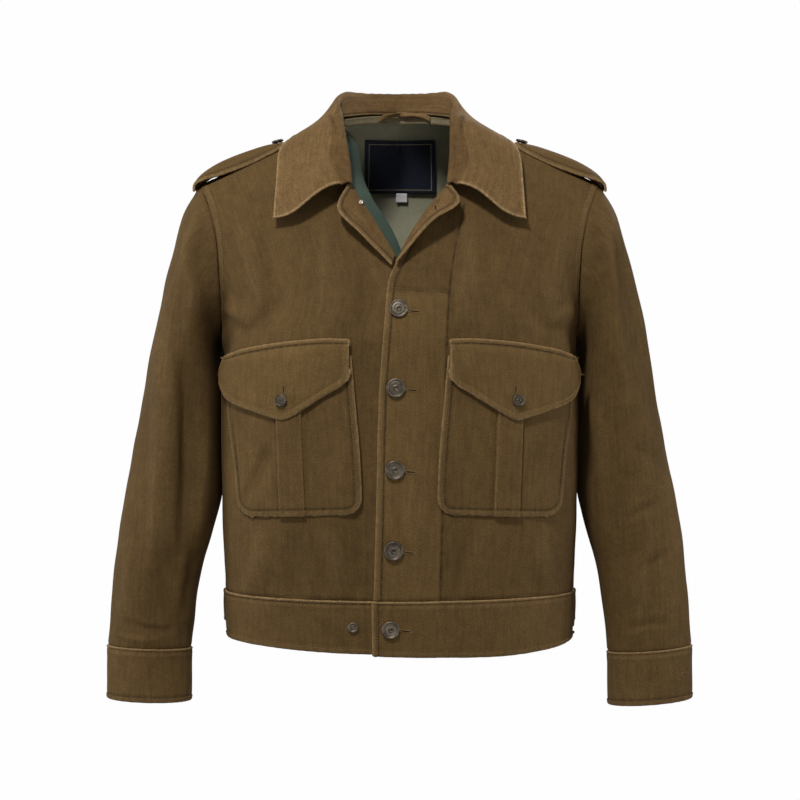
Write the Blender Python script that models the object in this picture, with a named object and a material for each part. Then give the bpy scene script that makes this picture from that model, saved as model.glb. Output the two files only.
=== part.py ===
"""Battle dress jacket: waist-length, filled out and hollow, as it hangs on a figure.

Every sheet of cloth is a thin closed wall. Tables and sizes are in millimetres and
are turned into metres where a mesh is made. The origin is the nape, the middle of
the back neck seam. +X is the wearer's left, -Y the front, +Z up.
"""

import math
from collections import namedtuple

import bpy
from mathutils import Vector

MM = 0.001
CLOTH = 1.6             # one layer of twill with its turnings
DOUBLE = 2.4            # collar, flap, strap and lapel: two layers
BAND = 3.0              # waistband and cuff: interlined
SEAM = 0.3              # gap between neighbouring pieces
THIN = 1.0              # linings, labels and tape
LAID_ON = 0.7           # gap under a piece that lies on a curved panel
LEFT, RIGHT = 1, -1     # the wearer's sides, as signs of x
SIDE_NAMES = {LEFT: "left", RIGHT: "right"}

# ---- driving sizes of the torso ------------------------------------------------------

Level = namedtuple("Level", "z half_width front back axis")
TORSO = [
    Level(-605, 191, -181, 30, -73),
    Level(-560, 194, -183, 32, -73),
    Level(-538, 194, -184, 33, -72),
    Level(-500, 196.5, -188, 37, -72),
    Level(-450, 198, -191, 41, -72),
    Level(-350, 199.5, -192, 47, -71),
    Level(-250, 198.5, -183, 53, -68),
    Level(-178, 198.5, -163, 54, -64),
    Level(-120, 199, -144, 52, -61),
    Level(-60, 200, -121, 48, -60),
    Level(40, 200, -90, 43, -60),
]
SQUARENESS = 2.8        # of the torso's rounded sections
NECK_SIDE = (75, -12)   # x and z where the shoulder seam meets the neck
SHOULDER = (225, -85)   # x and z where the shoulder seam meets the sleeve
FRONT_ROUND = 110       # depth of the rounding from the shoulder seam forward
BACK_ROUND = 135        # and backward
UNDERARM_Z = -248
SHOULDER_SLOPE = (SHOULDER[1] - NECK_SIDE[1]) / (SHOULDER[0] - NECK_SIDE[0])
NORMAL_STEP = 1.5       # either side of a point when its normal is worked out
FINE_STEPS = 80         # along a row before its points are spaced evenly

Armhole = namedtuple("Armhole", "z x")
ARMHOLE = [
    Armhole(-248, 198.5),
    Armhole(-214, 198),
    Armhole(-181, 199.5),
    Armhole(-156, 201.5),
    Armhole(-132, 206),
    Armhole(-112, 212),
    Armhole(-96, 219),
    Armhole(-85, 225),
]
ARMHOLE_FRONT = 60      # half depth of the armhole before the side seam
ARMHOLE_BACK = 66       # and behind it
ARMHOLE_STEPS = 9       # rows of each panel beside the armhole
BODY_STEPS = 9          # rows of each panel below the underarm

BAND_TOP = {"front": -543, "side": -538, "back": -541}
HEM = {"front": -601, "side": -589, "back": -594}
BAND_PROUD = 1.2        # the waistband stands out from the panels
LAP = 2.5               # the left front lies this far over the right one
BAND_LAP = 3.6
LAP_FROM, LAP_TO = 48, 24   # x where the left front starts to rise and is up


# ---- interpolation -------------------------------------------------------------------

def smooth(rows, value, name):
    """A smooth value of a named column, at a value of the table's first column."""
    keys = [row[0] for row in rows]
    rising = keys[-1] > keys[0]
    value = min(max(value, min(keys)), max(keys))
    index = 0
    while index < len(rows) - 2 and (keys[index + 1] < value) == rising:
        index += 1
    heights = [getattr(row, name) for row in rows]
    start, end = keys[index], keys[index + 1]
    share = (value - start) / (end - start)

    def slope(at):
        low, high = max(at - 1, 0), min(at + 1, len(rows) - 1)
        return (heights[high] - heights[low]) / (keys[high] - keys[low])

    span = end - start
    square, cube = share * share, share ** 3
    return ((2 * cube - 3 * square + 1) * heights[index]
            + (cube - 2 * square + share) * span * slope(index)
            + (3 * square - 2 * cube) * heights[index + 1]
            + (cube - square) * span * slope(index + 1))


def blend(low, high, share):
    return low + (high - low) * share


def ease(share):
    share = min(max(share, 0), 1)
    return share * share * (3 - 2 * share)


def spaced(points, count):
    """Count + 1 points, evenly spaced along a fine chain of points."""
    lengths = [0]
    for before, after in zip(points, points[1:]):
        lengths.append(lengths[-1] + (after - before).length)
    result, at = [], 0
    for step in range(count + 1):
        target = lengths[-1] * step / count
        while at < len(points) - 2 and lengths[at + 1] < target:
            at += 1
        piece = lengths[at + 1] - lengths[at]
        share = (target - lengths[at]) / piece if piece else 0
        result.append(points[at].lerp(points[at + 1], share))
    return result


def smooth_chain(points, per_span=8):
    """A fine smooth chain through a few points, as a Catmull-Rom curve."""
    points = [Vector(point) for point in points]
    ends = [2 * points[0] - points[1], *points, 2 * points[-1] - points[-2]]
    chain = []
    for before, start, end, after in zip(ends, ends[1:], ends[2:], ends[3:]):
        for step in range(per_span):
            share = step / per_span
            chain.append(0.5 * (2 * start + (end - before) * share
                                + (2 * before - 5 * start + 4 * end - after) * share ** 2
                                + (3 * start - before - 3 * end + after) * share ** 3))
    return [*chain, points[-1]]


# ---- the torso's surface -------------------------------------------------------------

def shoulder_z(x):
    """Height of the shoulder seam's line, which the neck interrupts."""
    return NECK_SIDE[1] + (abs(x) - NECK_SIDE[0]) * SHOULDER_SLOPE


def rounding(x, z, reach):
    """0 at the shoulder seam, 1 where the chest or back takes over."""
    drop = min(max((shoulder_z(x) - z) / reach, 0), 1)
    return math.sqrt(1 - (1 - drop) ** 2)


def armhole_depth(z, full):
    """Half depth of the armhole's ring at a height, 0 at its top and bottom."""
    middle = (SHOULDER[1] + UNDERARM_Z) / 2
    half = (SHOULDER[1] - UNDERARM_Z) / 2
    share = min(abs(z - middle) / half, 1)
    return full * math.sqrt(1 - share * share)


def section_width(z, depth, armhole, reach):
    """Half width of the section at z, so that the surface passes through the armhole."""
    if z <= UNDERARM_Z:
        return smooth(TORSO, z, "half_width")
    level = min(z, SHOULDER[1] - 0.5)
    edge = smooth(ARMHOLE, level, "x")
    across = armhole_depth(level, armhole) / (depth * max(rounding(edge, level, reach), 0.01))
    return edge / (1 - min(across, 0.9) ** SQUARENESS) ** (1 / SQUARENESS)


def surface(x, z, back=False):
    """The torso's outer surface, seen from the front or the back, at x and z."""
    axis = smooth(TORSO, z, "axis")
    depth = abs(smooth(TORSO, z, "back" if back else "front") - axis)
    armhole = ARMHOLE_BACK if back else ARMHOLE_FRONT
    reach = BACK_ROUND if back else FRONT_ROUND
    width = section_width(z, depth, armhole, reach)
    share = min(abs(x) / width, 1)
    across = (1 - share ** SQUARENESS) ** (1 / SQUARENESS)
    out = depth * across * rounding(x, z, reach)
    return Vector((x, axis + out if back else axis - out, z))


def outward(x, z, back=False):
    """The surface's normal, pointing out of the torso."""
    along_x = surface(x + NORMAL_STEP, z, back) - surface(x - NORMAL_STEP, z, back)
    along_z = surface(x, z + NORMAL_STEP, back) - surface(x, z - NORMAL_STEP, back)
    normal = along_x.cross(along_z).normalized()
    return -normal if (normal.y < 0) == back else normal


def lifted(x, z, lift, back=False):
    return surface(x, z, back) + outward(x, z, back) * lift


def lap_rise(x, full):
    """How far the left front is raised by the right one under it."""
    return full * ease((LAP_FROM - x) / (LAP_FROM - LAP_TO))


def armhole_point(angle, side, back):
    """A point of the armhole seam: angle 0 is the underarm, 180 the shoulder."""
    middle = (SHOULDER[1] + UNDERARM_Z) / 2
    half = (SHOULDER[1] - UNDERARM_Z) / 2
    z = middle - half * math.cos(math.radians(angle))
    depth = armhole_depth(z, ARMHOLE_BACK if back else ARMHOLE_FRONT)
    axis = smooth(TORSO, z, "axis")
    return Vector((side * smooth(ARMHOLE, z, "x"), axis + (depth if back else -depth), z))


def armhole_inward(angle, back):
    """Where the wall's inner edge lies from the armhole seam, in the seam's plane."""
    angle = math.radians(angle)
    return Vector((0, -math.sin(angle) if back else math.sin(angle), math.cos(angle)))


# ---- from points to closed walls -----------------------------------------------------

def material(name, color, roughness, metallic=0.0):
    made = bpy.data.materials.new(name)
    made.use_nodes = True
    shader = made.node_tree.nodes["Principled BSDF"]
    shader.inputs["Base Color"].default_value = (*color, 1)
    shader.inputs["Roughness"].default_value = roughness
    shader.inputs["Metallic"].default_value = metallic
    return made


def mesh_object(name, points, faces, finish):
    mesh = bpy.data.meshes.new(name)
    mesh.from_pydata([point * MM for point in points], [], faces)
    mesh.validate()
    mesh.shade_smooth()
    mesh.set_sharp_from_angle(angle=math.radians(40))
    made = bpy.data.objects.new(name, mesh)
    made.data.materials.append(finish)
    bpy.context.collection.objects.link(made)
    return made


def grid_normals(grid, closed):
    """A normal for each point of a grid of points, from the faces round it."""
    rows, columns = len(grid), len(grid[0])

    def neighbour(row, column):
        if closed:
            column %= columns
        return grid[min(max(row, 0), rows - 1)][min(max(column, 0), columns - 1)]

    return [[(neighbour(row, column + 1) - neighbour(row, column - 1)).cross(
                neighbour(row + 1, column) - neighbour(row - 1, column)).normalized()
             for column in range(columns)] for row in range(rows)]


def wall(name, grid, thickness, finish, closed=False, inward=None, flip=False):
    """A closed wall: the grid is its outer face, the inner face lies thickness inside.

    inward maps (row, column) to the direction of the inner face where a seam sets it.
    """
    rows, columns = len(grid), len(grid[0])
    normals = grid_normals(grid, closed)
    sign = -1 if flip else 1
    outer = [point for row in grid for point in row]
    inner = []
    for row in range(rows):
        for column in range(columns):
            direction = (inward or {}).get((row, column))
            if direction is None:
                direction = -sign * normals[row][column]
            inner.append(grid[row][column] + direction * thickness)

    def index(row, column):
        return row * columns + column % columns

    count = rows * columns
    spans = columns if closed else columns - 1
    faces = []
    for row in range(rows - 1):
        for column in range(spans):
            quad = [index(row, column), index(row, column + 1),
                    index(row + 1, column + 1), index(row + 1, column)]
            faces.append(quad)
            faces.append([count + corner for corner in reversed(quad)])
    rim = []
    for column in range(spans):
        rim.append((index(0, column + 1), index(0, column)))
        rim.append((index(rows - 1, column), index(rows - 1, column + 1)))
    if not closed:
        for row in range(rows - 1):
            rim.append((index(row, 0), index(row + 1, 0)))
            rim.append((index(row + 1, columns - 1), index(row, columns - 1)))
    for start, end in rim:
        faces.append([start, end, count + end, count + start])
    if flip:
        faces = [list(reversed(face)) for face in faces]
    return mesh_object(name, outer + inner, faces, finish)


def turned(name, centre, axis, profile, finish, segments=14):
    """A solid of revolution: profile rows are (radius, height) from bottom to top."""
    axis = axis.normalized()
    across = axis.orthogonal().normalized()
    up = axis.cross(across)
    points = [centre + axis * profile[0][1]]
    for radius, height in profile[1:-1]:
        for step in range(segments):
            angle = 2 * math.pi * step / segments
            points.append(centre + axis * height
                          + (across * math.cos(angle) + up * math.sin(angle)) * radius)
    points.append(centre + axis * profile[-1][1])
    faces, last = [], len(points) - 1
    rings = len(profile) - 2
    for step in range(segments):
        after = (step + 1) % segments
        faces.append([0, 1 + after, 1 + step])
        faces.append([last, 1 + (rings - 1) * segments + step,
                      1 + (rings - 1) * segments + after])
        for ring in range(rings - 1):
            low, high = 1 + ring * segments, 1 + (ring + 1) * segments
            faces.append([low + step, low + after, high + after, high + step])
    return mesh_object(name, points, faces, finish)


# ---- fronts and back -----------------------------------------------------------------

# Inner edges of the fronts above the underarm, x and z, from the chest up: front
# edge, then the roll line of the lapel, then the neck seam.
LEFT_EDGE = [(-17, -248), (-13, -203), (-7, -185), (2, -166), (10, -151), (19, -137),
             (29, -121), (41, -106), (51, -91), (58, -75), (66, -55), (72, -34), (75, -12)]
RIGHT_EDGE = [(-20, -248), (-17, -212), (-8, -188), (3, -173), (9, -166), (25, -136),
              (38, -114), (51, -94), (59, -75), (66, -55), (72, -34), (75, -12)]
Closure = namedtuple("Closure", "z x")
LEFT_CLOSURE = [Closure(-601, -29.5), Closure(-543, -28), Closure(-450, -25.5),
                Closure(-326, -22.5), Closure(-248, -17)]
RIGHT_CLOSURE_X = 20    # how far the right front reaches under the left one


def front_rows(side):
    """(inner x, inner z, outer x, outer z) for each row, from the band up."""
    rows = []
    for step in range(BODY_STEPS):
        share = step / BODY_STEPS
        inner_z = blend(BAND_TOP["front"], UNDERARM_Z, share)
        outer_z = blend(BAND_TOP["side"], UNDERARM_Z, share)
        inner = (smooth(LEFT_CLOSURE, inner_z, "x") if side == LEFT else -RIGHT_CLOSURE_X)
        rows.append((inner, inner_z, smooth(TORSO, outer_z, "half_width"), outer_z))
    path = LEFT_EDGE if side == LEFT else RIGHT_EDGE
    edge = spaced(smooth_chain([(x, 0, z) for x, z in path]), ARMHOLE_STEPS)
    for step, point in enumerate(edge):
        ring = armhole_point(180 * step / ARMHOLE_STEPS, LEFT, False)
        rows.append((point.x, point.z, ring.x, ring.z))
    return rows


def panel_row(inner_x, inner_z, outer_x, outer_z, columns, back):
    """Evenly spaced points of one row, in the wearer's left half's coordinates."""
    chain = []
    for step in range(FINE_STEPS + 1):
        share = math.sin(math.pi / 2 * step / FINE_STEPS)
        x = blend(inner_x, outer_x, share)
        chain.append(surface(x, blend(inner_z, outer_z, share), back))
    return spaced(chain, columns)


FRONT_COLUMNS = 18


def front_panel(side, finish):
    grid = []
    for inner_x, inner_z, outer_x, outer_z in front_rows(side):
        row = panel_row(inner_x, inner_z, outer_x, outer_z, FRONT_COLUMNS, False)
        raised = []
        for point in row:
            rise = lap_rise(point.x, LAP) if side == LEFT else 0
            if rise:
                point = point + outward(point.x, point.z) * rise
            raised.append(Vector((point.x * side, point.y, point.z)))
        grid.append(raised)
    return panel_wall("front_" + SIDE_NAMES[side], grid, side, finish, back=False)


def panel_wall(name, grid, side, finish, back):
    """A front, or one half of the back's seams: its edges stop half a seam short."""
    last_row, last = len(grid) - 1, len(grid[0]) - 1
    inward = {}
    for row in range(last_row + 1):
        inward.update(seam_inward(row, last, side, back))
        shift_from(grid[row], last, -1, SEAM / 2)
    for column in range(last + 1):
        away = SEAM / 2 if back else -SEAM / 2
        grid[last_row][column] = grid[last_row][column] + Vector((0, away, 0))
        inward.setdefault((last_row, column), shoulder_inward(side))
    return wall(name, grid, CLOTH, finish, inward=inward, flip=side == RIGHT)


def seam_inward(row, column, side, back):
    """The inner face's direction on the side seam and the armhole."""
    if row < BODY_STEPS:
        return {(row, column): Vector((-side, 0, 0))}
    angle = 180 * (row - BODY_STEPS) / ARMHOLE_STEPS
    direction = armhole_inward(angle, back) + Vector((-0.3 * side, 0, 0))
    return {(row, column): direction.normalized()}


def shoulder_inward(side):
    return Vector((side * SHOULDER_SLOPE, 0, -1)).normalized()


def shift_from(row, end, toward, distance):
    """Move the end point of a row along the row, away from the seam."""
    direction = (row[end + toward] - row[end]).normalized()
    row[end] = row[end] + direction * distance


Neck = namedtuple("Neck", "x z")
BACK_NECK = [Neck(0, 0), Neck(30, -1.5), Neck(58, -6.5), Neck(75, -12)]
BACK_COLUMNS = 11       # in each half


def back_rows():
    rows = []
    for step in range(BODY_STEPS):
        share = step / BODY_STEPS
        outer_z = blend(BAND_TOP["side"], UNDERARM_Z, share)
        centre_z = blend(BAND_TOP["back"], UNDERARM_Z, share)
        rows.append((centre_z, smooth(TORSO, outer_z, "half_width"), outer_z))
    for step in range(ARMHOLE_STEPS + 1):
        share = step / ARMHOLE_STEPS
        ring = armhole_point(180 * share, LEFT, True)
        rows.append((blend(UNDERARM_Z, 0, share), ring.x, ring.z))
    return rows


def back_half(outer_x, outer_z, centre_z, top_share):
    """One row from the middle of the back to its seam, dipping with the neck."""
    chain = []
    for step in range(FINE_STEPS + 1):
        share = math.sin(math.pi / 2 * step / FINE_STEPS)
        x = outer_x * share
        level = blend(centre_z, outer_z, share)
        if top_share > 0:
            top = smooth(BACK_NECK, x, "z") if x < NECK_SIDE[0] else shoulder_z(x)
            straight = blend(0, SHOULDER[1], share)
            level += (top - straight) * top_share ** 3
        chain.append(surface(x, level, True))
    return spaced(chain, BACK_COLUMNS)


def back_grid():
    grid = []
    for index, (centre_z, outer_x, outer_z) in enumerate(back_rows()):
        top_share = max(index - BODY_STEPS, 0) / ARMHOLE_STEPS
        half = back_half(outer_x, outer_z, centre_z, top_share)
        mirrored = [Vector((-point.x, point.y, point.z)) for point in half[:0:-1]]
        grid.append(mirrored + half)
    return grid


def back_panel(finish):
    grid = back_grid()
    last_row, last = len(grid) - 1, len(grid[0]) - 1
    inward = {}
    for row in range(last_row + 1):
        inward.update(seam_inward(row, last, LEFT, True))
        inward.update(seam_inward(row, 0, RIGHT, True))
        shift_from(grid[row], last, -1, SEAM / 2)
        shift_from(grid[row], 0, 1, SEAM / 2)
    for column in range(last + 1):
        point = grid[last_row][column]
        if abs(point.x) > NECK_SIDE[0] - 8:
            grid[last_row][column] = point + Vector((0, SEAM / 2, 0))
            inward.setdefault((last_row, column), shoulder_inward(1 if point.x > 0 else -1))
    return wall("back", grid, CLOTH, finish, inward=inward, flip=True)


LINING_GAP = 1.8        # the lining hangs this clear of the back's inner face
LINING_INSET = 4        # columns of the back's grid that the lining leaves out


def lining_back(finish):
    """The lining inside the back: the back's own points, moved in."""
    grid = back_grid()
    normals = grid_normals(grid, False)
    inner = []
    for row in range(1, len(grid) - 1):
        inner.append([grid[row][column] + normals[row][column] * (CLOTH + LINING_GAP)
                      for column in range(LINING_INSET, len(grid[0]) - LINING_INSET)])
    return wall("lining_back", inner, THIN, finish, flip=True)


# ---- waistband -----------------------------------------------------------------------

def band_z(levels, x, half_width, back):
    """Height of the band's seam or the hem at x, lowest in the middle."""
    share = 1 - min(abs(x) / half_width, 1) ** 2
    return blend(levels["side"], levels["back" if back else "front"], share)


BAND_ROWS = 2
BAND_MIDDLE_Z = -565
BAND_WIDTH = smooth(TORSO, BAND_MIDDLE_Z, "half_width")


def band_grid(start, end, columns, back, lap):
    """Rows of the waistband from the hem up; start and end are shares of its width."""
    grid = []
    for step in range(BAND_ROWS + 1):
        share = step / BAND_ROWS
        chain = []
        for part in range(FINE_STEPS + 1):
            angle = blend(math.asin(start), math.asin(end), part / FINE_STEPS)
            x = BAND_WIDTH * math.sin(angle)
            low = band_z(HEM, x, BAND_WIDTH, back)
            high = band_z(BAND_TOP, x, BAND_WIDTH, back) - SEAM
            level = blend(low, high, share)
            true_width = smooth(TORSO, level, "half_width")
            x = true_width * math.sin(angle)
            point = surface(x, level, back)
            normal = band_normal(x, level, back, true_width)
            rise = lap_rise(x, BAND_LAP) if lap else 0
            chain.append(point + normal * (BAND_PROUD + rise))
        grid.append(spaced(chain, columns))
    return grid


SIDE_TURN = 2           # this close to its side the band faces straight sideways


def band_normal(x, level, back, width):
    if abs(x) > width - SIDE_TURN:
        return Vector((math.copysign(1, x), 0, 0))
    return outward(x, level, back)


def waistband(finish):
    left_end = LEFT_CLOSURE[0].x / BAND_WIDTH
    right_end = RIGHT_CLOSURE_X / BAND_WIDTH
    lengths = [
        ("waistband_left", left_end, 1, 16, False, True),
        ("waistband_right", -1, right_end, 15, False, False),
        ("waistband_back", 1, -1, 22, True, False),
    ]
    for name, start, end, columns, back, lap in lengths:
        grid = band_grid(start, end, columns, back, lap)
        last = columns
        inward = {}
        for row, points in enumerate(grid):
            if abs(start) == 1:
                shift_from(points, 0, 1, SEAM / 2)
                inward[(row, 0)] = Vector((-start, 0, 0))
            if abs(end) == 1:
                shift_from(points, last, -1, SEAM / 2)
                inward[(row, last)] = Vector((-end, 0, 0))
        wall(name, grid, BAND, finish, inward=inward)


# ---- sleeves and cuffs ---------------------------------------------------------------

Sleeve = namedtuple("Sleeve", "outer_x outer_z inner_x inner_z y half_depth")
SLEEVE = [
    Sleeve(243.5, -118, 202.5, -255, -63, 64),
    Sleeve(253, -152, 205, -264, -64, 65),
    Sleeve(262, -187, 206, -276, -64, 66),
    Sleeve(271, -226, 206.5, -293, -65, 66),
    Sleeve(280, -268, 206.5, -318, -66, 64),
    Sleeve(288, -312, 206, -350, -67, 62),
    Sleeve(296, -358, 205.5, -388, -69, 59),
    Sleeve(304, -402, 205, -424, -72, 55),
    Sleeve(311.5, -448, 209, -460, -76, 51),
    Sleeve(317, -494, 218, -500, -81, 47),
    Sleeve(321.5, -542, 226, -545.5, -86, 43.5),
    Sleeve(325, -598.5, 232.5, -602.5, -91, 40),
]
CUFF_HEIGHT = 58.5
CUFF_PROUD = 1.0        # the cuff stands out from the sleeve
CUFF_LEAN = 4           # and comes forward by this much on its way down
CUFF_DROP = {LEFT: 3.5, RIGHT: -1}   # the left cuff hangs lower at its inner side


def ring_points(section, side, angles, proud=0.0):
    """One ring of a sleeve, from the underarm over the front to the top and back."""
    outer = Vector((section.outer_x, section.y, section.outer_z))
    inner = Vector((section.inner_x, section.y, section.inner_z))
    centre, half = (outer + inner) / 2, (outer - inner) / 2
    half = half * (1 + proud / half.length)
    points = []
    for angle, back in angles:
        angle = math.radians(angle)
        depth = (section.half_depth + proud) * math.sin(angle) * (1 if back else -1)
        point = centre - half * math.cos(angle) + Vector((0, depth, 0))
        points.append(Vector((point.x * side, point.y, point.z)))
    return points


def ring_angles():
    """The armhole's steps, up the front and down the back."""
    front = [(180 * step / ARMHOLE_STEPS, False) for step in range(ARMHOLE_STEPS)]
    back = [(180 * step / ARMHOLE_STEPS, True) for step in range(ARMHOLE_STEPS, 0, -1)]
    return front + back


def dropped(section, side):
    share = ease((section.inner_z - SLEEVE[8].inner_z) / (SLEEVE[-1].inner_z - SLEEVE[8].inner_z))
    return section._replace(inner_z=section.inner_z - CUFF_DROP[side] * share)


def sleeve(side, finish):
    angles = ring_angles()
    ring = [armhole_point(angle, side, back) + Vector((side * SEAM, 0, 0))
            for angle, back in angles]
    grid = [ring] + [ring_points(dropped(section, side), side, angles) for section in SLEEVE]
    inward = {}
    for column, (angle, back) in enumerate(angles):
        direction = armhole_inward(angle, back) + Vector((0.3 * side, 0, 0))
        inward[(0, column)] = direction.normalized()
    wall("sleeve_" + SIDE_NAMES[side], grid, CLOTH, finish, closed=True,
         inward=inward, flip=side == LEFT)


def cuff(side, finish):
    angles = ring_angles()
    top = dropped(SLEEVE[-1], side)
    grid = []
    for share in (0, 0.5, 1):
        drop = SEAM * 1.5 + share * CUFF_HEIGHT
        section = top._replace(outer_z=top.outer_z - drop, inner_z=top.inner_z - drop,
                               y=top.y - CUFF_LEAN * share)
        grid.append(ring_points(section, side, angles, proud=CUFF_PROUD))
    wall("cuff_" + SIDE_NAMES[side], grid, BAND, finish, closed=True, flip=side == LEFT)


# ---- collar and lapels ---------------------------------------------------------------

Station = namedtuple("Station", "at seam_x seam_z fold_x fold_y fold_z edge_x edge_y edge_z")
COLLAR = [   # from the middle of the back to the front end, the wearer's left half
    Station(0, 0, 0, 0, 10, 29, 0, 37, -43),
    Station(1, 30, -1.5, 33, 8, 29.5, 34, 33, -43),
    Station(2, 58, -6.5, 57, -7, 28, 67, 18, -42),
    Station(3, 75, -12, 65, -39, 13, 110, -16, -36),
    Station(4, 75, -15, 65, -57, 1.5, 129, -55, -31.5),
    Station(5, 73.5, -28, 64, -78, -12.5, 133, -98, -52),
    Station(6, 66, -56, 61, -109, -45, 135.5, -128, -91),
    Station(7, 58, -79, 57, -140, -85, 136.5, -145, -128.5),
]
FOLD_RADIUS = 3.4
FOOT_RISE = 1.1         # the stand's foot lies just above the neck seam
FOOT_IN = DOUBLE + 0.5  # and inside it
COLLAR_STEPS = 12       # along each half
LEAF_STEPS = 5          # from the fold to the edge
LEAF_CROWN = 5.5        # the fall arches over the shoulder by this much
FLAT_FROM = 0.8         # share of the half where that arch starts to flatten
BACK_UNTIL = 0.42       # share of the half whose neck seam lies on the back


def collar_profile(station, share):
    """Points from the neck seam up the stand, over the fold and down the fall."""
    seam = surface(station.seam_x, station.seam_z, share < BACK_UNTIL)
    fold = Vector((station.fold_x, station.fold_y, station.fold_z))
    edge = Vector((station.edge_x, station.edge_y, station.edge_z))
    out = edge - fold
    out.z = 0
    out.normalize()
    stand = seam + Vector((0, 0, FOOT_RISE)) - out * FOOT_IN
    profile = [stand, stand.lerp(fold - out * FOLD_RADIUS, 0.6)]
    for angle in (150, 90, 30):
        turn = math.radians(angle)
        profile.append(fold + out * FOLD_RADIUS * math.cos(turn)
                       + Vector((0, 0, FOLD_RADIUS * (math.sin(turn) - 1))))
    start = profile[-1]
    side = (edge - start).cross(Vector((-out.y, out.x, 0))).normalized()
    if side.z < 0:
        side = -side
    for step in range(1, LEAF_STEPS + 1):
        part = step / LEAF_STEPS
        flatter = 1 - 0.4 * ease((share - FLAT_FROM) / (1 - FLAT_FROM))
        crown = LEAF_CROWN * math.sin(math.pi * part) * flatter
        profile.append(start.lerp(edge, part) + side * crown)
    return profile


def collar_station(share):
    at = share * COLLAR[-1].at
    return Station(*(smooth(COLLAR, at, name) for name in Station._fields))


def collar(finish):
    half = [collar_profile(collar_station(step / COLLAR_STEPS), step / COLLAR_STEPS)
            for step in range(COLLAR_STEPS + 1)]
    half[0] = [Vector((0, point.y, point.z)) for point in half[0]]
    mirrored = [[Vector((-point.x, point.y, point.z)) for point in row] for row in half[:0:-1]]
    wall("collar", mirrored + half, DOUBLE, finish, flip=False)


LAPEL_GAP = 0.5
LAPEL_STEPS = 8
LAPEL_COLUMNS = 4
Lapel = namedtuple("Lapel", "share roll_x roll_z edge_x edge_z stand")
LAPEL_RIGHT = [
    Lapel(0, 52, -93, 57, -94, 4),
    Lapel(0.3, 44, -106, 66.5, -121, 7),
    Lapel(0.65, 25, -136, 40, -143, 6),
    Lapel(1, 6, -170, 9, -169.5, 3.5),
]
LAPEL_LEFT = [
    Lapel(0, 51.5, -92, 55, -93.5, 5),
    Lapel(0.28, 41, -105, 63.5, -115, 10),
    Lapel(0.6, 24, -128, 36, -131, 9),
    Lapel(1, 4, -160, 9, -156, 6),
]


def lapel(side, finish):
    """The front edge above the first button, turned outward over the chest."""
    table = LAPEL_LEFT if side == LEFT else LAPEL_RIGHT
    start = LAPEL_GAP + DOUBLE
    grid = []
    for step in range(LAPEL_STEPS + 1):
        share = step / LAPEL_STEPS
        row = []
        for column in range(LAPEL_COLUMNS + 1):
            part = column / LAPEL_COLUMNS
            x = blend(smooth(table, share, "roll_x"), smooth(table, share, "edge_x"), part)
            z = blend(smooth(table, share, "roll_z"), smooth(table, share, "edge_z"), part)
            rise = start + smooth(table, share, "stand") * math.sin(math.pi / 2 * part)
            rise += lap_rise(x, LAP) if side == LEFT else 0
            point = lifted(x, z, rise)
            row.append(Vector((point.x * side, point.y, point.z)))
        grid.append(row)
    wall("lapel_" + SIDE_NAMES[side], grid, DOUBLE, finish, flip=side == LEFT)


# ---- pockets -------------------------------------------------------------------------

Side = namedtuple("Side", "share inner outer")
POCKET_SIDES = [   # x of the pocket's edges, by share of its height from the top
    Side(0, 52, 188),
    Side(0.3, 47.5, 187),
    Side(0.6, 43, 180.5),
    Side(0.82, 41, 177),
    Side(0.93, 45, 174),
    Side(1.0, 62, 162),
]
POCKET_TOP = {"inner": -280, "outer": -292}
POCKET_BOTTOM = {"inner": -450, "outer": -453}
PLEAT_TOP = (107, 135)      # x of the box pleat's folds
PLEAT_BOTTOM = (100, 129)
PLEAT_RISE = 1.3
POCKET_ROWS = 12


def pocket(side, finish):
    grid = []
    for step in range(POCKET_ROWS + 1):
        share = 1 - (1 - step / POCKET_ROWS) ** 1.25
        inner, outer = (smooth(POCKET_SIDES, share, name) for name in ("inner", "outer"))
        folds = [blend(top, bottom, share) for top, bottom in zip(PLEAT_TOP, PLEAT_BOTTOM)]
        stops = ([(blend(inner, folds[0], part), 0) for part in (0, 0.07, 0.35, 0.7)]
                 + [(folds[0], 0), (folds[0] + 1, 1), (blend(*folds, 0.5), 1),
                    (folds[1] - 1, 1), (folds[1], 0)]
                 + [(blend(folds[1], outer, part), 0) for part in (0.25, 0.5, 0.72, 0.88, 1)])
        row = []
        for x, raised in stops:
            across = (x - inner) / (outer - inner)
            top = blend(POCKET_TOP["inner"], POCKET_TOP["outer"], across)
            bottom = blend(POCKET_BOTTOM["inner"], POCKET_BOTTOM["outer"], across)
            rise = LAID_ON + CLOTH + raised * PLEAT_RISE
            point = lifted(x, blend(top, bottom, share), rise)
            row.append(Vector((point.x * side, point.y, point.z)))
        grid.append(row)
    wall("pocket_" + SIDE_NAMES[side], grid, CLOTH, finish, flip=side == LEFT)


Flap = namedtuple("Flap", "x top low")
FLAP = [   # the flap's upper seam and lower edge
    Flap(54, -262, -302),
    Flap(62, -261.5, -309.5),
    Flap(78, -261.3, -319.5),
    Flap(96, -262, -331.5),
    Flap(112, -263.5, -341.5),
    Flap(125, -265, -348),
    Flap(138, -266.5, -343.5),
    Flap(156, -269, -338),
    Flap(176, -273, -331.5),
    Flap(189, -275.5, -325),
    Flap(194.5, -278, -314),
]
FLAP_ROWS = 7
FLAP_STAND = 4.6        # gap from panel to flap over the pocket
FLAP_POINT_X = 125


def flap_rise(share):
    return DOUBLE + blend(LAID_ON, FLAP_STAND, ease(share / 0.22))


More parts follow.
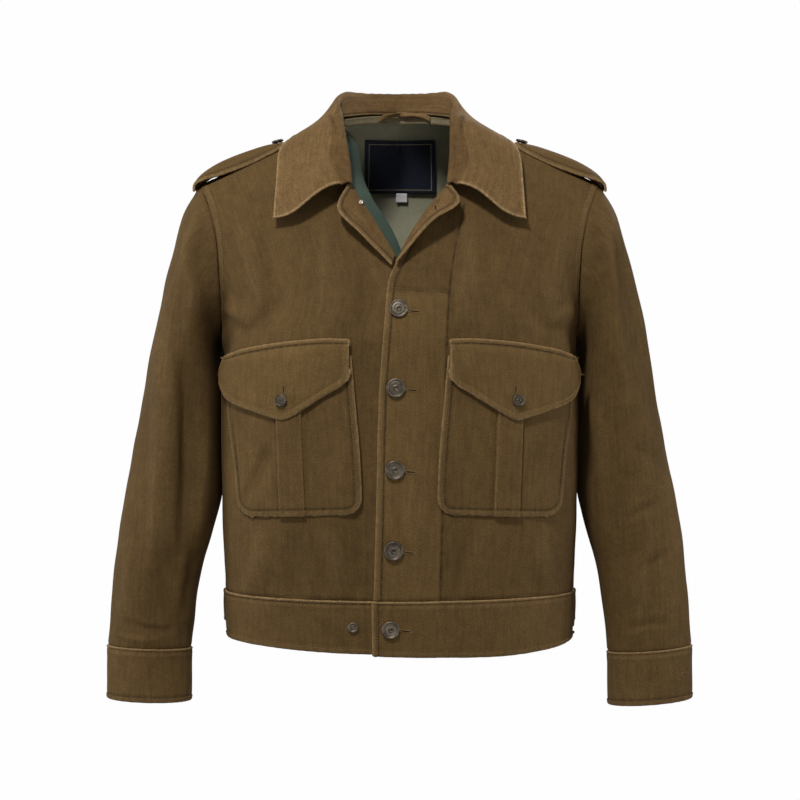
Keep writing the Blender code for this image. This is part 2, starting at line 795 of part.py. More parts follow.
def flap(side, finish):
    grid = []
    for step in range(FLAP_ROWS + 1):
        share = step / FLAP_ROWS
        row = []
        for station in FLAP:
            z = blend(station.top, station.low, share)
            point = lifted(station.x, z, flap_rise(share))
            row.append(Vector((point.x * side, point.y, point.z)))
        grid.append(row)
    wall("flap_" + SIDE_NAMES[side], grid, DOUBLE, finish, flip=side == LEFT)


# ---- shoulder straps -----------------------------------------------------------------

Strap = namedtuple("Strap", "at x z half_width front_sag back_sag")
STRAP = [   # the strap's crown, from the collar to the armhole seam
    Strap(0, 130.5, -35.6, 15, 5, 2),
    Strap(1, 138, -36.8, 20, 10, 5),
    Strap(2, 152, -39.5, 22, 13, 8),
    Strap(3, 168, -44.5, 23, 14, 9),
    Strap(4, 186, -51, 24, 13, 9),
    Strap(5, 202, -58, 24.5, 11, 8),
    Strap(6, 215, -65.5, 25, 9, 7),
    Strap(7, 225, -73.5, 25, 7, 6),
    Strap(8, 230.5, -81.5, 25, 5, 5),
    Strap(9, 231.5, -89, 25, 4, 4),
]
STRAP_AXIS = -60        # y of the strap's middle line
STRAP_STEPS = 12
STRAP_COLUMNS = 6


def strap_row(at, side):
    x, z, half = (smooth(STRAP, at, name) for name in ("x", "z", "half_width"))
    row = []
    for column in range(STRAP_COLUMNS + 1):
        part = 2 * column / STRAP_COLUMNS - 1
        sag = smooth(STRAP, at, "front_sag" if part < 0 else "back_sag")
        row.append(Vector((x * side, STRAP_AXIS + part * half, z - sag * part * part)))
    return row


def epaulette(side, finish):
    last = STRAP[-1].at
    grid = [strap_row(last * step / STRAP_STEPS, side) for step in range(STRAP_STEPS + 1)]
    wall("epaulette_" + SIDE_NAMES[side], grid, DOUBLE, finish, flip=side == LEFT)


# ---- side tabs -----------------------------------------------------------------------

TAB_LOW, TAB_HIGH = -576, -540
TAB_BACK_X = 168        # where the tab ends on the back, from the side seam
TAB_ROWS, TAB_COLUMNS = 3, 7


def side_tab(side, finish):
    """A tab on the waistband, from the side seam round to the back."""
    grid = []
    for step in range(TAB_ROWS + 1):
        share = step / TAB_ROWS
        z = blend(TAB_LOW, TAB_HIGH, share)
        width = smooth(TORSO, z, "half_width")
        inset = 4 * (2 * share - 1) ** 2
        chain = []
        for part in range(FINE_STEPS + 1):
            x = blend(width - 0.5, TAB_BACK_X + inset, (part / FINE_STEPS) ** 1.6)
            normal = band_normal(x, z, True, width)
            point = surface(x, z, True) + normal * (BAND_PROUD + LAID_ON + DOUBLE)
            chain.append(Vector((point.x * side, point.y, point.z)))
        grid.append(spaced(chain, TAB_COLUMNS))
    wall("tab_" + SIDE_NAMES[side], grid, DOUBLE, finish, flip=side == RIGHT)


# ---- inside the neck -----------------------------------------------------------------

LABEL_DEPTH = CLOTH + 2.2 * LINING_GAP + 2 * THIN   # the label's free face, from outside
Patch = namedtuple("Patch", "name x_from x_to bottom top columns rows")
NECK_LABEL = Patch("neck_label", -42, 43, -82, -22, 6, 4)
SIZE_TAB = Patch("size_tab", -4.5, 9, -93, -83, 2, 2)


def patch_inside(patch, finish):
    """A flat piece sewn to the inside of the back, its free face toward the front."""
    grid = []
    for row in range(patch.rows + 1):
        z = blend(patch.bottom, patch.top, row / patch.rows)
        grid.append([lifted(blend(patch.x_from, patch.x_to, column / patch.columns), z,
                            -LABEL_DEPTH, True) for column in range(patch.columns + 1)])
    wall(patch.name, grid, THIN, finish)


def neck_pieces(label_finish, tab_finish, tape_finish, lining_finish):
    patch_inside(NECK_LABEL, label_finish)
    patch_inside(SIZE_TAB, tab_finish)
    lining_front(lining_finish)
    neck_tape(tape_finish)
    hanger_loop(tape_finish)


TAPE_HEIGHT = 7
TAPE_REACH = 54         # half length of the neck tape, along x
TAPE_DEPTH = 4.3        # from the neck seam in, past the stand's foot
TAPE_COLUMNS = 12


def neck_inside(x, depth, rise):
    """A point inside the back neck seam, depth toward the neck's middle."""
    def seam(at):
        return surface(at, smooth(BACK_NECK, abs(at), "z"), True)

    along = seam(x + 1) - seam(x - 1)
    inner = Vector((along.y, -along.x, 0)).normalized()
    return seam(x) + inner * depth + Vector((0, 0, rise))


def neck_tape(finish):
    """A tape that hangs over the neck seam, inside the stand's foot."""
    grid = []
    for rise in (-TAPE_HEIGHT - SEAM, -SEAM):
        grid.append([neck_inside(TAPE_REACH * (2 * column / TAPE_COLUMNS - 1), TAPE_DEPTH, rise)
                     for column in range(TAPE_COLUMNS + 1)])
    wall("neck_tape", grid, THIN, finish)


Loop = namedtuple("Loop", "x rise")
LOOP = [Loop(-27, -5), Loop(-20, -1.5), Loop(-5, 1), Loop(12, 1.5), Loop(28, 0.5), Loop(38, -4)]
LOOP_WIDTH = 4.4
LOOP_THICK = 1.2
LOOP_LOW = -2           # its lower edge from the table's rise
LOOP_CLEAR, LOOP_BOW = 1.8, 1.5     # in from the tape, and more in its middle
LOOP_COLUMNS = 14


def hanger_loop(finish):
    """A narrow strip that leaves the tape, arches and returns to it."""
    grid = []
    for edge in (0, LOOP_WIDTH):
        row = []
        for step in range(LOOP_COLUMNS + 1):
            x = blend(LOOP[0].x, LOOP[-1].x, step / LOOP_COLUMNS)
            bow = LOOP_BOW * math.sin(math.pi * step / LOOP_COLUMNS)
            row.append(neck_inside(x, TAPE_DEPTH + LOOP_CLEAR + bow,
                                   smooth(LOOP, x, "rise") + edge + LOOP_LOW))
        grid.append(row)
    wall("hanger_loop", grid, LOOP_THICK, finish)


LiningEdge = namedtuple("LiningEdge", "share out_x out_z in_x in_y in_z")
LINING_FRONT = [   # beside the right lapel: along its roll, and its free edge inside
    LiningEdge(0, 57, -82, 58, -106, -70),
    LiningEdge(0.35, 47, -106, 30, -124, -106),
    LiningEdge(0.7, 27, -138, 8, -132, -142),
    LiningEdge(1, 8, -172, -4, -146, -172),
]


LINING_STEPS, LINING_COLUMNS = 6, 4


def lining_front(finish):
    """The right front's lining, which stands inward from the lapel's roll."""
    grid = []
    for step in range(LINING_STEPS + 1):
        share = step / LINING_STEPS
        out_x, out_z = (smooth(LINING_FRONT, share, name) for name in ("out_x", "out_z"))
        outer = lifted(out_x, out_z, -(CLOTH + 2 * LAID_ON))
        inner = Vector([smooth(LINING_FRONT, share, name) for name in ("in_x", "in_y", "in_z")])
        row = [outer.lerp(inner, part / LINING_COLUMNS) for part in range(LINING_COLUMNS + 1)]
        grid.append([Vector((-point.x, point.y, point.z)) for point in row])
    wall("lining_front", grid, THIN, finish)


# ---- buttons and metal ---------------------------------------------------------------

Button = namedtuple("Button", "name x z radius proud")
FRONT_BUTTONS = [
    Button("button_1", -1, -229.5, 10.2, LAP),
    Button("button_2", -4, -314.5, 10.6, LAP),
    Button("button_3", -5, -402, 10.6, LAP),
    Button("button_4", -6.5, -488.5, 10.6, LAP),
    Button("button_5", -9.7, -573.5, 9.6, BAND_LAP + BAND_PROUD),
]
FLAP_BUTTON_RADIUS = 6.8
FLAP_BUTTON_Z = -328
STRAP_BUTTON_AT, STRAP_BUTTON_LEAN = 0.95, 0.25


def button_profile(radius):
    """Radius and height: a flat back, a raised rim, and a dished middle."""
    return [(0, 0), (radius * 0.86, 0), (radius, 1.1), (radius * 0.9, 2.6),
            (radius * 0.72, 2.3), (radius * 0.3, 1.7), (0, 1.7)]


def buttons(finish):
    for row in FRONT_BUTTONS:
        base = lifted(row.x, row.z, row.proud + LAID_ON)
        turned(row.name, base, outward(row.x, row.z), button_profile(row.radius), finish)
    share = (FLAP_BUTTON_Z - smooth(FLAP, FLAP_POINT_X, "top")) / (
        smooth(FLAP, FLAP_POINT_X, "low") - smooth(FLAP, FLAP_POINT_X, "top"))
    for side in (RIGHT, LEFT):
        base = lifted(FLAP_POINT_X, FLAP_BUTTON_Z, flap_rise(share) + LAID_ON)
        axis = outward(FLAP_POINT_X, FLAP_BUTTON_Z)
        base.x, axis.x = base.x * side, axis.x * side
        turned("button_flap_" + SIDE_NAMES[side], base, axis,
               button_profile(FLAP_BUTTON_RADIUS), finish, 12)
        centre = strap_row(STRAP_BUTTON_AT, LEFT)[STRAP_COLUMNS // 2]
        lean = Vector((STRAP_BUTTON_LEAN * side, 0, 1)).normalized()
        base = Vector((centre.x * side, centre.y, centre.z)) + lean * LAID_ON
        turned("button_strap_" + SIDE_NAMES[side], base, lean,
               button_profile(FLAP_BUTTON_RADIUS), finish, 12)


Stud = namedtuple("Stud", "name x z rise wide high")
STUDS = [
    Stud("waistband_stud", -50.0, -571.5, BAND_PROUD + LAID_ON, 1, 1),
    Stud("neck_stud", -42, -113, LAID_ON + DOUBLE + 1.8, 0.45, 0.8),
]


def studs(finish):
    profile = [(0, 0), (5.2, 0), (5.8, 0.8), (4.2, 1.5), (2.2, 0.9), (0, 0.9)]
    for stud in STUDS:
        sized = [(radius * stud.wide, height * stud.high) for radius, height in profile]
        turned(stud.name, lifted(stud.x, stud.z, stud.rise), outward(stud.x, stud.z),
               sized, finish, 12)


# ---- the whole jacket ----------------------------------------------------------------

def build():
    for old in list(bpy.data.objects):
        bpy.data.objects.remove(old, do_unlink=True)
    twill = material("twill", (0.075, 0.048, 0.021), 0.85)
    worn = material("worn_twill", (0.15, 0.095, 0.04), 0.85)
    khaki = material("khaki_lining", (0.14, 0.12, 0.075), 0.6)
    green = material("green_lining", (0.05, 0.06, 0.04), 0.6)
    label = material("label", (0.01, 0.011, 0.02), 0.6)
    white = material("white_tape", (0.7, 0.7, 0.66), 0.8)
    metal = material("antique_metal", (0.05, 0.042, 0.032), 0.4, 0.8)
    back_panel(twill)
    lining_back(khaki)
    waistband(twill)
    collar(worn)
    for side in (RIGHT, LEFT):
        front_panel(side, twill)
        lapel(side, worn)
        sleeve(side, twill)
        cuff(side, twill)
        pocket(side, twill)
        flap(side, worn)
        epaulette(side, twill)
        side_tab(side, twill)
    neck_pieces(label, white, worn, green)
    buttons(metal)
    studs(metal)
    count = sum(len(made.data.loop_triangles) or sum(len(face.vertices) - 2
                for face in made.data.polygons) for made in bpy.data.objects)
    print(len(bpy.data.objects), "nodes,", count, "triangles")


build()
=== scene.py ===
"""Battle dress jacket: the looks of a waist-length olive-brown twill jacket.

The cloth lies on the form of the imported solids, with finer edges, seams, folds and
sewing. Tables and sizes are in millimetres, with the origin at the nape, +X the
wearer's left, -Y the front and +Z up, and become metres where a mesh is made.
"""

import math
from collections import defaultdict, namedtuple

import bpy
import numpy as np
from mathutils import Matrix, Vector


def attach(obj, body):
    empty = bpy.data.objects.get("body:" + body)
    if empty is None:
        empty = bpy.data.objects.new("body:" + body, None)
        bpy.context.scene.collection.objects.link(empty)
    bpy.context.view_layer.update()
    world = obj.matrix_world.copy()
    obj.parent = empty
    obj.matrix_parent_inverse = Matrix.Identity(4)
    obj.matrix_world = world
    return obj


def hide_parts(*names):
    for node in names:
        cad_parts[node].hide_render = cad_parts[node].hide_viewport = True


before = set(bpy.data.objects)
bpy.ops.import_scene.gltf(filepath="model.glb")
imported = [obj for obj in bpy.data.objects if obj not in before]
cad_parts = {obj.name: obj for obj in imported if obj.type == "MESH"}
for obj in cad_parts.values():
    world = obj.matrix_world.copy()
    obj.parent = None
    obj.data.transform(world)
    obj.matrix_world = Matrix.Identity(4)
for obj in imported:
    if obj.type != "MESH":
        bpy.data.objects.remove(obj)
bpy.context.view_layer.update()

MM = 0.001
CLOTH, DOUBLE, BAND = 1.6, 2.4, 3.0     # walls: twill, two layers, interlined band
SEAM, LAID_ON = 0.3, 0.7                # gaps beside and under a piece
LEFT, RIGHT = 1, -1                     # the wearer's sides, as signs of x
SIDES = {RIGHT: "right", LEFT: "left"}
UP = np.array([0, 0, 1.0])
SHEETS, SEWN = [], defaultdict(list)    # cloth pieces made, and lines of stitches on them


# ---- interpolation -------------------------------------------------------------------

def table(columns, text):
    """Rows of numbers under named columns; a semicolon parts two rows."""
    kind = namedtuple("Row", columns)
    return [kind(*map(float, row.split())) for row in text.split(";")]


def hermite(keys, heights, value):
    """Smooth values through rows of heights, which may be numbers or points."""
    keys, heights = np.asarray(keys, float), np.asarray(heights, float)
    if keys[0] > keys[-1]:
        keys, heights = keys[::-1], heights[::-1]
    wide = keys.reshape((-1,) + (1,) * (heights.ndim - 1))
    slopes = np.empty_like(heights)
    slopes[1:-1] = (heights[2:] - heights[:-2]) / (wide[2:] - wide[:-2])
    slopes[0] = (heights[1] - heights[0]) / (wide[1] - wide[0])
    slopes[-1] = (heights[-1] - heights[-2]) / (wide[-1] - wide[-2])
    value = np.clip(np.asarray(value, float), keys[0], keys[-1])
    low = np.clip(np.searchsorted(keys, value) - 1, 0, len(keys) - 2)
    shape = value.shape + (1,) * (heights.ndim - 1)
    span = (keys[low + 1] - keys[low]).reshape(shape)
    share = (value - keys[low]).reshape(shape) / span
    square, cube = share ** 2, share ** 3
    return ((2 * cube - 3 * square + 1) * heights[low]
            + (cube - 2 * square + share) * span * slopes[low]
            + (3 * square - 2 * cube) * heights[low + 1]
            + (cube - square) * span * slopes[low + 1])


def smooth(rows, value, name):
    """A smooth value of a named column, at a value of the table's first column."""
    return hermite([row[0] for row in rows], [getattr(row, name) for row in rows], value)


def blend(low, high, share):
    return low + (high - low) * share


def ease(share):
    share = np.clip(share, 0, 1)
    return share * share * (3 - 2 * share)


def bell(value, width):
    return np.exp(-(value / width) ** 2)


def unit(vectors):
    return vectors / np.maximum(np.linalg.norm(vectors, axis=-1, keepdims=True), 1e-9)


def arc(points):
    """Length along a chain of points, 0 at its start; works on rows of chains too."""
    steps = np.linalg.norm(np.diff(points, axis=-2), axis=-1)
    return np.concatenate([np.zeros(steps.shape[:-1] + (1,)), np.cumsum(steps, -1)], -1)


def spread(stops, at, points):
    """Points at stops along a chain whose own points are at those lengths."""
    return np.stack([np.interp(stops, at, values) for values in points.T], -1)


def along(points, count=None, pitch=None):
    """Points evenly spaced along a chain."""
    at = arc(points)
    return spread(np.linspace(0, at[-1], count or max(int(at[-1] / pitch), 2)), at, points)


def chain(points, per_span=24):
    """A fine smooth chain through a few points, as a Catmull-Rom curve."""
    points = np.asarray(points, float)
    ends = np.vstack([2 * points[0] - points[1], points, 2 * points[-1] - points[-2]])
    share = np.linspace(0, 1, per_span, endpoint=False)[:, None]
    spans = [0.5 * (2 * start + (end - before) * share
                    + (2 * before - 5 * start + 4 * end - after) * share ** 2
                    + (3 * start - before - 3 * end + after) * share ** 3)
             for before, start, end, after in zip(ends, ends[1:], ends[2:], ends[3:])]
    return np.vstack([*spans, points[-1]])


def crowded(counts, marks, tight):
    """Stops from mark to mark, closer together beside each mark.

    marks holds one column for each mark and one row for each row of the grid."""
    marks = np.atleast_2d(np.asarray(marks, float))
    stops = [marks[:, :1]]
    for count, low, high in zip(counts, marks.T, marks.T[1:]):
        share = np.linspace(0, 1, count + 1)[1:]
        share = share - tight * np.sin(2 * np.pi * share) / (2 * np.pi)
        stops.append(low[:, None] + (high - low)[:, None] * share)
    return np.hstack(stops)


def shares(count, tight, start=0, end=1):
    return crowded([count], [start, end], tight)[0]


def spaced(place, fine, counts, tight, marks=None):
    """A grid of place's points, with its stops measured along each row."""
    lengths = arc(place(fine))
    marks = marks(lengths) if marks else lengths[:, [-1]] * [0, 1]
    stops = crowded(counts, marks, tight)
    return place(np.stack([np.interp(at, row, fine[0]) for at, row in zip(stops, lengths)]))


def wobble(value, period, seed=0.0):
    """An uneven wave of about that period, between -1 and 1."""
    turn = 2 * np.pi * value / period
    return (np.sin(turn + seed) + 0.6 * np.sin(1.63 * turn + 2.1 * seed + 1)
            + 0.5 * np.sin(0.57 * turn + 3.7 * seed + 2)) / 2.1


def ripple(points, period, seed=0.0):
    """An uneven slow swell over points in space."""
    total = 0
    for number in range(5):
        turn = 2.4 * number + seed
        way = np.array([math.cos(turn), 0.5 * math.sin(1.7 * turn), math.sin(turn)])
        total = total + np.sin(2 * np.pi * (points @ way) / (period * (0.7 + 0.16 * number))
                               + 1.9 * number + seed)
    return total / 5


# ---- the torso's surface -------------------------------------------------------------

TORSO = table("z half_width front back axis", """
    -605 191 -181 30 -73; -560 194 -183 32 -73; -538 194 -184 33 -72; -500 196.5 -188 37 -72;
    -450 198 -191 41 -72; -350 199.5 -192 47 -71; -250 198.5 -183 53 -68;
    -178 198.5 -163 54 -64; -120 199 -144 52 -61; -60 200 -121 48 -60; 40 200 -90 43 -60""")
SQUARENESS = 2.8        # of the torso's rounded sections
NECK_SIDE = (75, -12)   # x and z where the shoulder seam meets the neck
SHOULDER = (225, -85)   # x and z where the shoulder seam meets the sleeve
FRONT_ROUND, BACK_ROUND = 110, 135      # rounding from the shoulder seam
UNDERARM_Z = -248
SHOULDER_SLOPE = (SHOULDER[1] - NECK_SIDE[1]) / (SHOULDER[0] - NECK_SIDE[0])
ARMHOLE_MIDDLE = (SHOULDER[1] + UNDERARM_Z) / 2
ARMHOLE_HALF = (SHOULDER[1] - UNDERARM_Z) / 2
ARMHOLE_FRONT, ARMHOLE_BACK = 60, 66    # half depth of the armhole
ARMHOLE = table("z x", "-248 198.5; -214 198; -181 199.5; -156 201.5; -132 206; -112 212;"
                "-96 219; -85 225")
BAND_TOP = {"front": -543, "side": -538, "back": -541}
HEM = {"front": -601, "side": -589, "back": -594}
BAND_PROUD = 1.2        # the waistband stands out from the panels
LAP, BAND_LAP = 2.5, 3.6            # the left front lies this far over the right one
LAP_FROM, LAP_TO = 48, 24           # x where the left front starts to rise and is up
FINE = np.sin(np.pi / 2 * np.linspace(0, 1, 240))[None]     # shares of a panel's row


def shoulder_z(x):
    return NECK_SIDE[1] + (np.abs(x) - NECK_SIDE[0]) * SHOULDER_SLOPE


def rounding(x, z, reach):
    drop = np.clip((shoulder_z(x) - z) / reach, 0, 1)
    return np.sqrt(1 - (1 - drop) ** 2)


def armhole_depth(z, full):
    share = np.minimum(np.abs(z - ARMHOLE_MIDDLE) / ARMHOLE_HALF, 1)
    return full * np.sqrt(1 - share * share)


def section_width(z, depth, armhole, reach):
    """Half width of the section at z, so that the surface passes through the armhole."""
    level = np.clip(z, UNDERARM_Z, SHOULDER[1] - 0.5)
    edge = smooth(ARMHOLE, level, "x")
    across = armhole_depth(level, armhole) / (
        depth * np.maximum(rounding(edge, level, reach), 0.01))
    above = edge / (1 - np.minimum(across, 0.9) ** SQUARENESS) ** (1 / SQUARENESS)
    return np.where(z <= UNDERARM_Z, smooth(TORSO, z, "half_width"), above)


def surface(x, z, back=False):
    """The torso's outer surface, seen from the front or the back, at x and z."""
    x, z = np.broadcast_arrays(np.asarray(x, float), np.asarray(z, float))
    axis = smooth(TORSO, z, "axis")
    depth = np.abs(smooth(TORSO, z, "back" if back else "front") - axis)
    reach = BACK_ROUND if back else FRONT_ROUND
    width = section_width(z, depth, ARMHOLE_BACK if back else ARMHOLE_FRONT, reach)
    share = np.minimum(np.abs(x) / width, 1)
    out = depth * (1 - share ** SQUARENESS) ** (1 / SQUARENESS) * rounding(x, z, reach)
    return np.stack([x, axis + out if back else axis - out, z], -1)


def outward(x, z, back=False, step=1.5):
    across = surface(x + step, z, back) - surface(x - step, z, back)
    up = surface(x, z + step, back) - surface(x, z - step, back)
    normal = unit(np.cross(across, up))
    wrong = (normal[..., 1:2] < 0) if back else (normal[..., 1:2] > 0)
    return np.where(wrong, -normal, normal)


def lifted(x, z, lift, back=False):
    return surface(x, z, back) + outward(x, z, back) * np.asarray(lift, float)[..., None]


def lifted_round_side(x, z, width, lift, back):
    """As lifted, but straight out to the side where the section turns back."""
    side = np.stack([np.copysign(1.0, x), 0 * x, 0 * x], -1)
    normal = np.where((np.abs(x) > width - 2)[..., None], side, outward(x, z, back))
    return surface(x, z, back) + normal * np.asarray(lift, float)[..., None]


def lap_rise(x, full):
    return full * ease((LAP_FROM - x) / (LAP_FROM - LAP_TO))


def armhole_point(angle, back):
    """Points of the armhole seam: angle 0 is the underarm, 180 the shoulder."""
    z = ARMHOLE_MIDDLE - ARMHOLE_HALF * np.cos(np.radians(angle))
    depth = armhole_depth(z, ARMHOLE_BACK if back else ARMHOLE_FRONT)
    axis = smooth(TORSO, z, "axis")
    return np.stack([smooth(ARMHOLE, z, "x"), axis + (depth if back else -depth), z], -1)


# ---- from grids of points to cloth ---------------------------------------------------

RIM_LAYERS = 4
TUCK, TUCK_DEPTH = 14.0, 1.0     # length of the turnings in a seam, and how far in they lie

# Turned edges: where they are sewn, how much the roll stands and the sewing sinks, how
# pale they are rubbed, and how uneven the roll is, over which length.
HEMS = dict(zip(
    ("closure", "band_low", "band_high", "band_end", "cuff_high", "cuff_low", "collar",
     "foot", "lapel", "pocket", "flap", "flap_top", "strap", "tab"),
    table("inset puff groove worn pucker period", """
    7.8 0.5 0.5 0.9 0.3 9; 6.0 0.5 0.4 0.75 0.45 11; 3.2 0.35 0.45 1.25 0.5 10;
    6.5 0.4 0.4 0.8 0.3 9; 2.6 0.5 0.4 1.35 0.3 10; 6.0 0.4 0.35 0.6 0.4 11;
    7.6 0.65 0.6 1.1 0.3 12; 3 0.2 0.3 0.4 0.3 9; 5.0 0.4 0.4 1.0 0.15 8;
    6.6 0.6 0.5 0.95 0.35 11; 6.6 0.6 0.55 1.1 0.3 10; 5.6 0.7 0.6 1.0 0.4 9;
    6.0 0.5 0.5 1.1 0.3 9; 5.0 0.4 0.15 0.9 0 9""")))


def normals_of(grid, closed=False):
    across = (np.roll(grid, -1, 1) - np.roll(grid, 1, 1) if closed
              else np.gradient(grid, axis=1))
    return unit(np.cross(across, np.gradient(grid, axis=0)))


def nearest(points, line):
    """Distance from each point to a fine line, and the length along it there."""
    at = arc(line)
    flat = points.reshape(-1, 3)
    best = np.full(len(flat), np.inf)
    where = np.zeros(len(flat), int)
    for start in range(0, len(line), 64):
        away = np.linalg.norm(flat[:, None] - line[None, start:start + 64], axis=-1)
        low = away.argmin(1)
        value = away[np.arange(len(flat)), low]
        closer = value < best
        best[closer], where[closer] = value[closer], start + low[closer]
    return best.reshape(points.shape[:-1]), at[where].reshape(points.shape[:-1])


def rim_loops(rows, columns, closed):
    """Cells round each open edge, back to its first one."""
    if closed:
        return [[(0, column) for column in range(columns + 1)],
                [(rows - 1, column) for column in range(columns, -1, -1)]]
    return [[(0, column) for column in range(columns)]
            + [(row, columns - 1) for row in range(1, rows)]
            + [(rows - 1, column) for column in range(columns - 2, -1, -1)]
            + [(row, 0) for row in range(rows - 2, -1, -1)]]


def mesh_piece(name, points, faces, finish):
    mesh = bpy.data.meshes.new(name)
    mesh.from_pydata(np.asarray(points) * MM, [], faces)
    mesh.shade_smooth()
    mesh.materials.append(finish)
    made = bpy.data.objects.new(name, mesh)
    bpy.context.scene.collection.objects.link(made)
    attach(made, "root")
    return made


class Cloth:
    """A thin sheet: a grid of outer points in millimetres and what it looks like."""

    def __init__(self, node, grid, thickness, finish, flip=False, closed=False,
                 bulge=0.5, fade=0.0):
        self.node, self.grid, self.thickness = node, grid, thickness
        self.finish, self.flip, self.closed = finish, flip, closed
        self.bulge = bulge                  # of the open edges, as a share of thickness
        self.seat = grid                    # where it lies before it is creased
        # Colour marks per point: the first is pale rubbed wear, paler seam bands and painted
        # highlight on fold ridges above zero, and painted shade in grooves, seams and troughs
        # below zero; the second is faded dye, with painted shade from the lapel on the left
        # front.
        self.wear_and_shading = np.zeros(grid.shape[:2])
        self.fade = self.wear_and_shading + fade
        whole = np.concatenate([grid, grid[:, :1]], 1) if closed else grid
        across, up = arc(whole), arc(np.swapaxes(whole, 0, 1)).T
        middle = across.shape[1] // 2
        self.weave = np.stack([across - across[:, [middle]], up], -1) * MM
        cells = np.cross(np.diff(whole, axis=1)[:-1], np.diff(whole, axis=0)[:, :-1])
        self.cut = (across[:, -1].max() * MM, up[-1].max() * MM,
                    np.linalg.norm(cells, axis=-1).sum() * MM * MM)

    def row(self, row, start=0, end=None):
        """Cells along a row; a ring's row ends where it starts."""
        rows, columns = self.grid.shape[:2]
        cells = [(row % rows, column) for column in range(columns)[start:end]]
        return cells + cells[:1] if self.closed else cells

    def column(self, column, start=0, end=None):
        rows, columns = self.grid.shape[:2]
        return [(row, column % columns) for row in range(rows)[start:end]]

    def normals(self):
        return normals_of(self.grid, self.closed) * (-1 if self.flip else 1)

    def rim_way(self):
        """For the points of the open edges, the direction off the cloth."""
        grid = self.grid
        way = np.zeros_like(grid)
        way[0] += unit(grid[0] - grid[1])
        way[-1] += unit(grid[-1] - grid[-2])
        if not self.closed:
            way[:, 0] += unit(grid[:, 0] - grid[:, 1])
            way[:, -1] += unit(grid[:, -1] - grid[:, -2])
        return unit(way)

    def raise_by(self, height):
        self.grid = self.grid + self.normals() * height[..., None]

    def press(self, height):
        """Folds, with a painted highlight on their ridges and painted shade in their troughs."""
        self.raise_by(height)
        # painted highlight on fold ridges, painted shade in fold troughs
        self.wear_and_shading = self.wear_and_shading + np.clip(height * 0.035, -0.12, 0.12)

    def from_edge(self, cells, pitch=1.2):
        """Each point's distance from a line of cells, and the length along it there."""
        return nearest(self.grid, along(self.grid[tuple(np.transpose(cells))], pitch=pitch))

    def hem(self, cells, kind, seed=0.0, most=np.inf):
        """A turned edge: a soft roll, a sewn groove inset from it with painted shade, and pale
        wear.
        """
        hem = HEMS[kind]
        inset = np.minimum(hem.inset, most)
        away, at = self.from_edge(cells, 0.8)
        uneven = 1 + hem.pucker * wobble(at, hem.period, seed)
        roll = np.sin(np.pi * np.clip(away / inset, 0, 1)) ** 0.8
        self.raise_by(hem.puff * roll * uneven
                      - hem.groove * uneven * bell(away - inset, 1.2)
                      - 0.25 * self.thickness * bell(away, 0.7))
        paling = 0.85 * bell(away, 1.5) + 0.3 * roll * (uneven - 0.45)
        self.wear_and_shading = np.maximum(self.wear_and_shading, hem.worn * np.clip(paling, 0, 1))
        # painted shade along the sewn groove
        self.wear_and_shading = self.wear_and_shading - 0.75 * uneven * bell(away - inset, 1.15)

    def band(self, cells, width, high=0.55, seed=0.0):
        """A seam whose turnings lie under the cloth: a low, paler band with puckers; painted
        shade at its seam and edge.
        """
        away, at = self.from_edge(cells)
        rise = ease((width - away) / 1.8)
        uneven = 0.8 + 0.35 * wobble(at, 11, seed)
        pull = bell(away - width, 3.5) * wobble(at, 13, seed + 1)
        self.raise_by(high * rise * uneven + 0.35 * pull - 0.5 * bell(away, 1.1))
        self.wear_and_shading = np.maximum(self.wear_and_shading, 0.24 * rise * uneven)
        # painted shade along the seam line and beside the band's edge
        self.wear_and_shading = self.wear_and_shading - (0.8 * bell(away, 1.3) + 0.55 * uneven * bell(away - width, 1.2))

    def gather(self):
        """Short upright puckers where the panel is sewn to the waistband."""
        away, at = self.from_edge(self.row(0))
        self.raise_by(bell(away, 14 + 9 * wobble(at, 47, 2))
                      * (0.8 * wobble(at, 12, 0.4) + 0.5 * wobble(at, 29, 1.7))
                      - 0.9 * bell(away, 1.6))

    def stitch(self, group, cells, *insets):
        """Keeps lines of stitches, inset from an edge, for the mesh of their group."""
        chosen = tuple(np.transpose(cells))
        border, inward = self.grid[chosen], -self.rim_way()[chosen]
        at, outer = arc(border), along(border, pitch=1.0)
        inner = unit(spread(np.linspace(0, at[-1], len(outer)), at, inward))
        for inset in insets:
            path = outer + inner * inset
            away, _ = nearest(path, outer)
            SEWN[group].append(self.settle(path[away > 0.93 * inset]))

    def settle(self, path):
        """A path moved onto the cloth, with the cloth's normals."""
        flat, facing = self.grid.reshape(-1, 3), self.normals().reshape(-1, 3)
        points, ways = [], []
        for point in path:
            away = np.einsum("ij,ij->i", flat - point, flat - point)
            near = np.argpartition(away, 4)[:4]
            weight = 1 / (away[near] + 0.05)
            way = unit((facing[near] * weight[:, None]).sum(0))
            middle = (flat[near] * weight[:, None]).sum(0) / weight.sum()
            points.append(point - way * np.dot(point - middle, way))
            ways.append(way)
        return np.array(points), np.array(ways)

    def on_front(self, line):
        """Points in the front view, moved back onto the cloth."""
        flat = self.grid.reshape(-1, 3)
        points = []
        for x, z in line:
            away = (flat[:, 0] - x) ** 2 + (flat[:, 2] - z) ** 2
            close = np.flatnonzero(away < away.min() + 9)
            points.append((x, flat[close, 1].min(), z))
        return self.settle(np.array(points))[0]

    def tuck(self, end, beside):
        """Turnings that run on from an end row, under the band that is sewn to it."""
        way = unit(self.grid[end] - self.grid[beside])
        far = self.seat[end] - self.normals()[end] * TUCK_DEPTH
        near = blend(self.grid[end], far, 0.7) + way * TUCK * 0.1

        def longer(rows, extra):
            return np.concatenate([rows, extra] if end else [extra[::-1], rows])

        self.grid = longer(self.grid, [near, far + way * TUCK])
        self.wear_and_shading, self.fade, self.weave = (
            longer(rows, rows[[end, end]]) for rows in (self.wear_and_shading, self.fade, self.weave))

